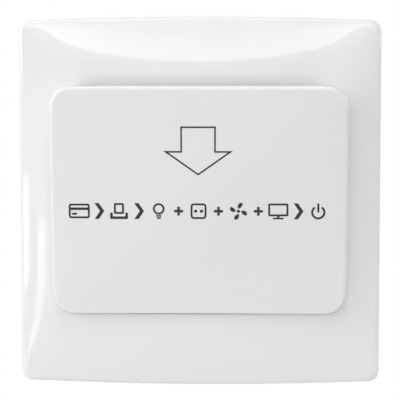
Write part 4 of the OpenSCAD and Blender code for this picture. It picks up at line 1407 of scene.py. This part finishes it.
class KEYSWITCH_OT_lever(bpy.types.Operator):
    """Lever that the card tips"""

    bl_idname = "keyswitch.lever"
    bl_label = "Card lever"

    def arm(self, v):
        """Arm that leans back to the snap switch's plunger, with a round nose."""
        left, right = -7.9 * MM, -3.5 * MM
        rise, back, half = 3.4 * MM, 3.25 * MM, 0.9 * MM
        top = v.axle_z + math.hypot(rise, back)
        arm = block("arm", (left, v.axle_y - half, v.axle_z), (right, v.axle_y + half, top))
        enter_edit(arm)
        bpy.ops.mesh.select_all(action="SELECT")
        bpy.ops.transform.rotate(
            value=-math.atan2(-back, rise), orient_axis="X", center_override=(0, v.axle_y, v.axle_z)
        )
        leave_edit()
        nose = rod("nose", "X", (left, v.axle_y + back, v.axle_z + rise), right, 1.2 * MM, 40)
        return add(arm, nose)

    def execute(self, context):
        v = context.scene.key_lever
        half = v.toe_thick / 2
        side = v.toe / 2
        lever = block("lever", (-side, v.toe_tip, v.axle_z - half), (side, v.axle_y, v.axle_z + half))
        enter_edit(lever)
        pick(lever, "EDGE", lambda edge: max(q.co.y for q in edge.verts) < v.toe_tip + 10 * TINY)
        bpy.ops.mesh.bevel(offset=0.6 * MM, segments=5, profile=0.5, affect="EDGES")
        leave_edit()
        soften(lever, 0.2 * MM, 2)
        reach = side + 0.6 * MM
        hub = rod("hub", "X", (-reach, v.axle_y, v.axle_z), reach, v.hub, 56)
        add(lever, soften(hub, 0.2 * MM, 2), self.arm(v))
        seat = block("spring_seat", (1.35 * MM, 0, v.axle_z - 1.33 * MM), (2.85 * MM, 1.9 * MM, v.axle_z))
        add(lever, seat)
        gap, past, bore = 2.9 * MM, 20 * MM, 1.05 * MM
        cut(lever, rod("gap", "X", (-gap, v.axle_y, v.axle_z), gap, v.hub + 0.4 * MM, 56))
        cut(lever, rod("bore", "X", (-past, v.axle_y, v.axle_z), past, bore, 40))
        settle(close_up(lever), "lever", "lever_white", lever_acetal(context), "card_lever")
        return {"FINISHED"}


class KEYSWITCH_OT_spring(bpy.types.Operator):
    """Torsion spring round the lever's pin, which winds between the frame and the lever"""

    bl_idname = "keyswitch.spring"
    bl_label = "Lever spring"

    def wire_path(self, v):
        """Leg behind the coil, the curls, and the leg under the toe."""
        side = v.coil_width / 2
        leg = 4.6 * MM
        points = [(-side, v.axle_y + v.coil, v.axle_z + leg)]
        steps = round(CURL_STEPS * v.curls)
        for step in range(steps + 1):
            share = step / steps
            turn = -2 * math.pi * v.curls * share
            back, up = v.coil * math.cos(turn), v.coil * math.sin(turn)
            points.append((side * (2 * share - 1), v.axle_y + back, v.axle_z + up))
        return points + [(side, v.axle_y - leg, v.axle_z - v.coil)]

    def execute(self, context):
        v = context.scene.key_lever
        points = self.wire_path(v)
        clear_selection()
        bpy.ops.curve.primitive_nurbs_path_add()
        spring = bpy.context.active_object
        spring.name = "spring"
        line = spring.data
        line.splines.clear()
        path = line.splines.new("POLY")
        path.points.add(len(points) - 1)
        for point, place in zip(path.points, points):
            point.co = (*place, 1)
        line.bevel_depth = v.wire
        line.bevel_resolution = 3
        line.use_fill_caps = True
        take(spring)
        bpy.ops.object.convert(target="MESH")
        spring = close_up(begin("spring"))
        settle(spring, None, "spring_steel", spring_steel(context), "lever_spring", angle=50)
        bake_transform(spring)
        return {"FINISHED"}


class KEYSWITCH_OT_plunger(bpy.types.Operator):
    """Plunger of the snap switch, with a crowned nub under the blade"""

    bl_idname = "keyswitch.plunger"
    bl_label = "Plunger"

    def execute(self, context):
        x, y = -5.7 * MM, 7.8 * MM

        def bar(name, wide, deep, low, high):
            return block(name, (x - wide, y - deep, low), (x + wide, y + deep, high))

        stem = soften(bar("plunger", 1.3 * MM, 1.5 * MM, -13.55 * MM, -10.7 * MM), 0.3 * MM)
        flange = soften(bar("flange", 2 * MM, 1.9 * MM, -11.05 * MM, -10.25 * MM), 0.15 * MM, 2)
        nub = soften(bar("nub", 0.8 * MM, 0.8 * MM, -10.5 * MM, -9.85 * MM), 0.3 * MM, 4)
        add(stem, flange, nub)
        settle(close_up(stem), "plunger", "plunger_red", plunger_plastic(context), "switch_plunger")
        return {"FINISHED"}


class KEYSWITCH_OT_inner_finishes(bpy.types.Operator):
    """Finishes of the pieces that keep their CAD shape"""

    bl_idname = "keyswitch.inner_finishes"
    bl_label = "Inner finishes"

    def execute(self, context):
        c = context.scene.key_finishes
        brass = metal("brass", c.brass, (0.22, 0.4), lines=1200.0)
        epoxy = plastic("epoxy", c.epoxy, (0.42, 0.6), grain=9000.0, share=0.8, bump=0.2, darker=0.7)
        black = plastic(
            "moulded_black", c.switch, (0.4, 0.55), grain=7000.0, share=0.7, bump=0.15, darker=0.7
        )
        mask = plastic("solder_mask", c.board, (0.22, 0.36), grain=5000.0, share=0.6, bump=0.1, darker=0.7)
        relay = plastic("relay_case", c.relay, (0.38, 0.5), share=0.6, bump=0.1, darker=0.85)
        film = plastic("film_case", c.film, (0.36, 0.5), share=0.6, bump=0.1, darker=0.9)
        sleeve = plastic("can_sleeve", c.can, (0.2, 0.3), share=0.3, bump=0.06, darker=0.8)
        coating = plastic(
            "disc_coating", c.disc, (0.25, 0.38), ripple=400.0, share=0.3, bump=0.2, darker=0.85
        )
        lacquer = plastic("resistor_lacquer", c.resistor, (0.35, 0.5), share=0.4, bump=0.1, darker=0.85)
        cap = plastic("fuse_cap", c.fuse, (0.35, 0.5), share=0.5, bump=0.1, darker=0.8)
        finishes = {
            "board_screws": zinc(context), "circuit_board": mask, "power_relay": relay,
            "supply_capacitor": film, "smoothing_capacitor": sleeve, "bridge_rectifier": epoxy,
            "timer_chip": epoxy, "varistor": coating, "dropper_resistor": lacquer, "fuse": cap,
            "terminal_clamps": brass, "switch_contacts": brass, "contact_blade": brass,
            "microswitch_case": black, "microswitch_lid": black, "pivot_pin": spring_steel(context),
        }
        for node, finish in finishes.items():
            for slot in frame["nodes"][node].material_slots:
                slot.material = finish
        return {"FINISHED"}


class KEYSWITCH_OT_stage(bpy.types.Operator):
    """Floor, white surroundings, soft light and camera"""

    bl_idname = "keyswitch.stage"
    bl_label = "Stage"

    def faded(self, tree, value, start, end, smooth=False):
        """Share of the way that a value has come from start to end."""
        fade = tree.nodes.new("ShaderNodeMapRange")
        fade.interpolation_type = "SMOOTHSTEP" if smooth else "LINEAR"
        fade.inputs["From Min"].default_value = start
        fade.inputs["From Max"].default_value = end
        tree.links.new(value, fade.inputs["Value"])
        return fade.outputs["Result"]

    def reckon(self, tree, operation, *values):
        """Result of a Math node whose inputs are other nodes' outputs or numbers."""
        node = tree.nodes.new("ShaderNodeMath")
        node.operation = operation
        for socket, value in zip(node.inputs, values):
            if isinstance(value, bpy.types.NodeSocket):
                tree.links.new(value, socket)
            else:
                socket.default_value = value
        return node.outputs[0]

    def glow(self, tree, strength):
        """Strength of the white surroundings, with a glow in front that ends at the softbox's lower edge."""
        way = tree.nodes.new("ShaderNodeSeparateXYZ")
        tree.links.new(tree.nodes.new("ShaderNodeTexCoord").outputs["Generated"], way.inputs[0])
        aside = self.reckon(tree, "ABSOLUTE", way.outputs["X"])
        # parts of a direction of length 1, where the glow is at its brightest and where it has gone
        bright_up, gone_up = 0.204, 0.212
        rise = self.faded(tree, way.outputs["Z"], 0.0, bright_up)
        end = self.faded(tree, way.outputs["Z"], gone_up, bright_up)
        front = self.faded(tree, way.outputs["Y"], -0.8, -0.9)
        middle = self.faded(tree, aside, 0.32, 0.16)
        up = self.reckon(tree, "MULTIPLY", rise, end)
        across = self.reckon(tree, "MULTIPLY", front, middle)
        share = self.reckon(tree, "MULTIPLY", up, across)
        return self.reckon(tree, "MULTIPLY_ADD", share, strength, 1.0)

    def surroundings(self, context, ambient, glow):
        """White for what is seen, mirrored or looked through to, and a weaker light for the rest."""
        world = bpy.data.worlds.new("studio")
        context.scene.world = world
        world.use_nodes = True
        tree = world.node_tree
        light = tree.nodes["Background"]
        light.inputs["Color"].default_value = (1, 1, 1, 1)
        light.inputs["Strength"].default_value = ambient
        white = tree.nodes.new("ShaderNodeBackground")
        white.inputs["Color"].default_value = (1, 1, 1, 1)
        tree.links.new(self.glow(tree, glow), white.inputs["Strength"])
        path = tree.nodes.new("ShaderNodeLightPath").outputs
        seen = self.reckon(tree, "MAXIMUM", path["Is Camera Ray"], path["Is Glossy Ray"])
        clear = self.reckon(tree, "MAXIMUM", seen, path["Is Transmission Ray"])
        mix = tree.nodes.new("ShaderNodeMixShader")
        tree.links.new(clear, mix.inputs[0])
        tree.links.new(light.outputs[0], mix.inputs[1])
        tree.links.new(white.outputs[0], mix.inputs[2])
        tree.links.new(mix.outputs[0], tree.nodes["World Output"].inputs["Surface"])

    def floor(self, context):
        """Pale floor that fades out round the switch, and that is clear from below."""
        reach, height = 0.36, -0.16
        clear_selection()
        bpy.ops.mesh.primitive_plane_add(size=2 * reach, location=(0, 0, height))
        floor = begin("floor")
        colour = context.scene.key_finishes.floor
        paper = plastic("floor_paper", colour, (0.8, 0.9), share=0.8, bump=0.05, darker=0.99)
        floor.data.materials.append(paper)
        tree = paper.node_tree
        place = tree.nodes.new("ShaderNodeTexCoord").outputs["Object"]
        flat = tree.nodes.new("ShaderNodeMapping")
        flat.inputs["Scale"].default_value = (1, 1, 0)
        tree.links.new(place, flat.inputs["Vector"])
        radius = tree.nodes.new("ShaderNodeVectorMath")
        radius.operation = "LENGTH"
        tree.links.new(flat.outputs["Vector"], radius.inputs[0])
        fade = self.faded(tree, radius.outputs["Value"], 0.6 * reach, 0.97 * reach, smooth=True)
        below = tree.nodes.new("ShaderNodeNewGeometry").outputs["Backfacing"]
        mix = tree.nodes.new("ShaderNodeMixShader")
        tree.links.new(self.reckon(tree, "MAXIMUM", fade, below), mix.inputs[0])
        tree.links.new(tree.nodes["Principled BSDF"].outputs[0], mix.inputs[1])
        tree.links.new(tree.nodes.new("ShaderNodeBsdfTransparent").outputs[0], mix.inputs[2])
        tree.links.new(mix.outputs[0], tree.nodes["Material Output"].inputs["Surface"])

    def lamp(self, name, watts, azimuth, elevation, distance, wide, high):
        """Rectangular lamp that faces the switch, placed by its angles in degrees as seen from there."""
        clear_selection()
        place = distance * direction(math.radians(azimuth), math.radians(elevation))
        facing = (-place).to_track_quat("-Z", "Y").to_euler()
        bpy.ops.object.light_add(type="AREA", location=place, rotation=facing)
        lamp = bpy.context.active_object
        lamp.name = name
        lamp.data.shape = "RECTANGLE"
        lamp.data.size = wide
        lamp.data.size_y = high
        lamp.data.energy = watts
        return lamp

    def fade_ends(self, lamp, graded=False):
        """Lets a lamp fade out towards its left and right ends, and towards its top if it is graded."""
        lamp.data.use_nodes = True
        tree = lamp.data.node_tree
        # places on the lamp run from 0 to 1, and its full strength ends this far from the middle
        full, end = 0.15, 0.5
        on_lamp = tree.nodes.new("ShaderNodeSeparateXYZ")
        tree.links.new(tree.nodes.new("ShaderNodeNewGeometry").outputs["Parametric"], on_lamp.inputs[0])
        off = self.reckon(tree, "SUBTRACT", on_lamp.outputs["X"], 0.5)
        fade = tree.nodes.new("ShaderNodeMapRange")
        fade.interpolation_type = "SMOOTHSTEP"
        fade.inputs["From Min"].default_value = full
        fade.inputs["From Max"].default_value = end
        fade.inputs["To Min"].default_value = 1.0
        fade.inputs["To Max"].default_value = 0.0
        tree.links.new(self.reckon(tree, "ABSOLUTE", off), fade.inputs["Value"])
        strength = fade.outputs["Result"]
        if graded:
            bottom, top = 1.5, 0.3
            grade = tree.nodes.new("ShaderNodeMapRange")
            grade.inputs["To Min"].default_value = bottom
            grade.inputs["To Max"].default_value = top
            tree.links.new(on_lamp.outputs["Y"], grade.inputs["Value"])
            strength = self.reckon(tree, "MULTIPLY", strength, grade.outputs["Result"])
        tree.links.new(strength, tree.nodes["Emission"].inputs["Strength"])

    def execute(self, context):
        g = context.scene.key_stage
        context.scene.view_settings.view_transform = "Standard"
        self.surroundings(context, g.ambient, g.glow)
        self.floor(context)
        lamps = {name: self.lamp(name, getattr(g, setting), *place) for name, setting, *place in LAMPS}
        self.fade_ends(lamps["softbox"])
        self.fade_ends(lamps["softbox_edge"], graded=True)
        clear_selection()
        rise, turn = g.elevation, g.azimuth
        place = Vector((g.aim_x, 0, g.aim_z)) + g.distance * direction(turn, rise)
        bpy.ops.object.camera_add(location=place, rotation=(math.pi / 2 - rise, 0, turn))
        camera = bpy.context.active_object
        camera.name = "camera"
        camera.data.sensor_width = 36
        camera.data.lens = g.lens
        camera.data.clip_start = 0.01
        context.scene.camera = camera
        return {"FINISHED"}


OPERATORS = (
    KEYSWITCH_OT_plate, KEYSWITCH_OT_panel, KEYSWITCH_OT_prints, KEYSWITCH_OT_frame,
    KEYSWITCH_OT_housing, KEYSWITCH_OT_terminals, KEYSWITCH_OT_screws, KEYSWITCH_OT_lever,
    KEYSWITCH_OT_spring, KEYSWITCH_OT_plunger, KEYSWITCH_OT_inner_finishes, KEYSWITCH_OT_stage,
)
GROUPS = {
    "key_plate": PlateSizes, "key_panel": PanelSizes, "key_prints": PrintSizes,
    "key_frame": FrameSizes, "key_housing": HousingSizes, "key_terminals": TerminalSizes,
    "key_lever": LeverSizes, "key_finishes": Finishes, "key_stage": StageSettings,
}


class KEYSWITCH_PT_pieces(bpy.types.Panel):
    """Pieces of the card switch"""

    bl_label = "Card switch"
    bl_idname = "KEYSWITCH_PT_pieces"
    bl_space_type = "VIEW_3D"
    bl_region_type = "UI"
    bl_category = "Card switch"

    def draw(self, context):
        for operator in OPERATORS:
            self.layout.operator(operator.bl_idname)


def register():
    for group in GROUPS.values():
        bpy.utils.register_class(group)
    for name, group in GROUPS.items():
        setattr(bpy.types.Scene, name, PointerProperty(type=group))
    for operator in OPERATORS:
        bpy.utils.register_class(operator)
    bpy.utils.register_class(KEYSWITCH_PT_pieces)


def unregister():
    bpy.utils.unregister_class(KEYSWITCH_PT_pieces)
    for operator in reversed(OPERATORS):
        bpy.utils.unregister_class(operator)
    for name in GROUPS:
        delattr(bpy.types.Scene, name)
    for group in reversed(GROUPS.values()):
        bpy.utils.unregister_class(group)


def main():
    register()
    bpy.ops.keyswitch.plate()
    bpy.ops.keyswitch.panel()
    bpy.ops.keyswitch.prints()
    bpy.ops.keyswitch.frame()
    bpy.ops.keyswitch.housing()
    bpy.ops.keyswitch.terminals()
    bpy.ops.keyswitch.screws()
    bpy.ops.keyswitch.lever()
    bpy.ops.keyswitch.spring()
    bpy.ops.keyswitch.plunger()
    bpy.ops.keyswitch.inner_finishes()
    bpy.ops.keyswitch.stage()
    clear_selection()


if __name__ == "__main__":
    main()
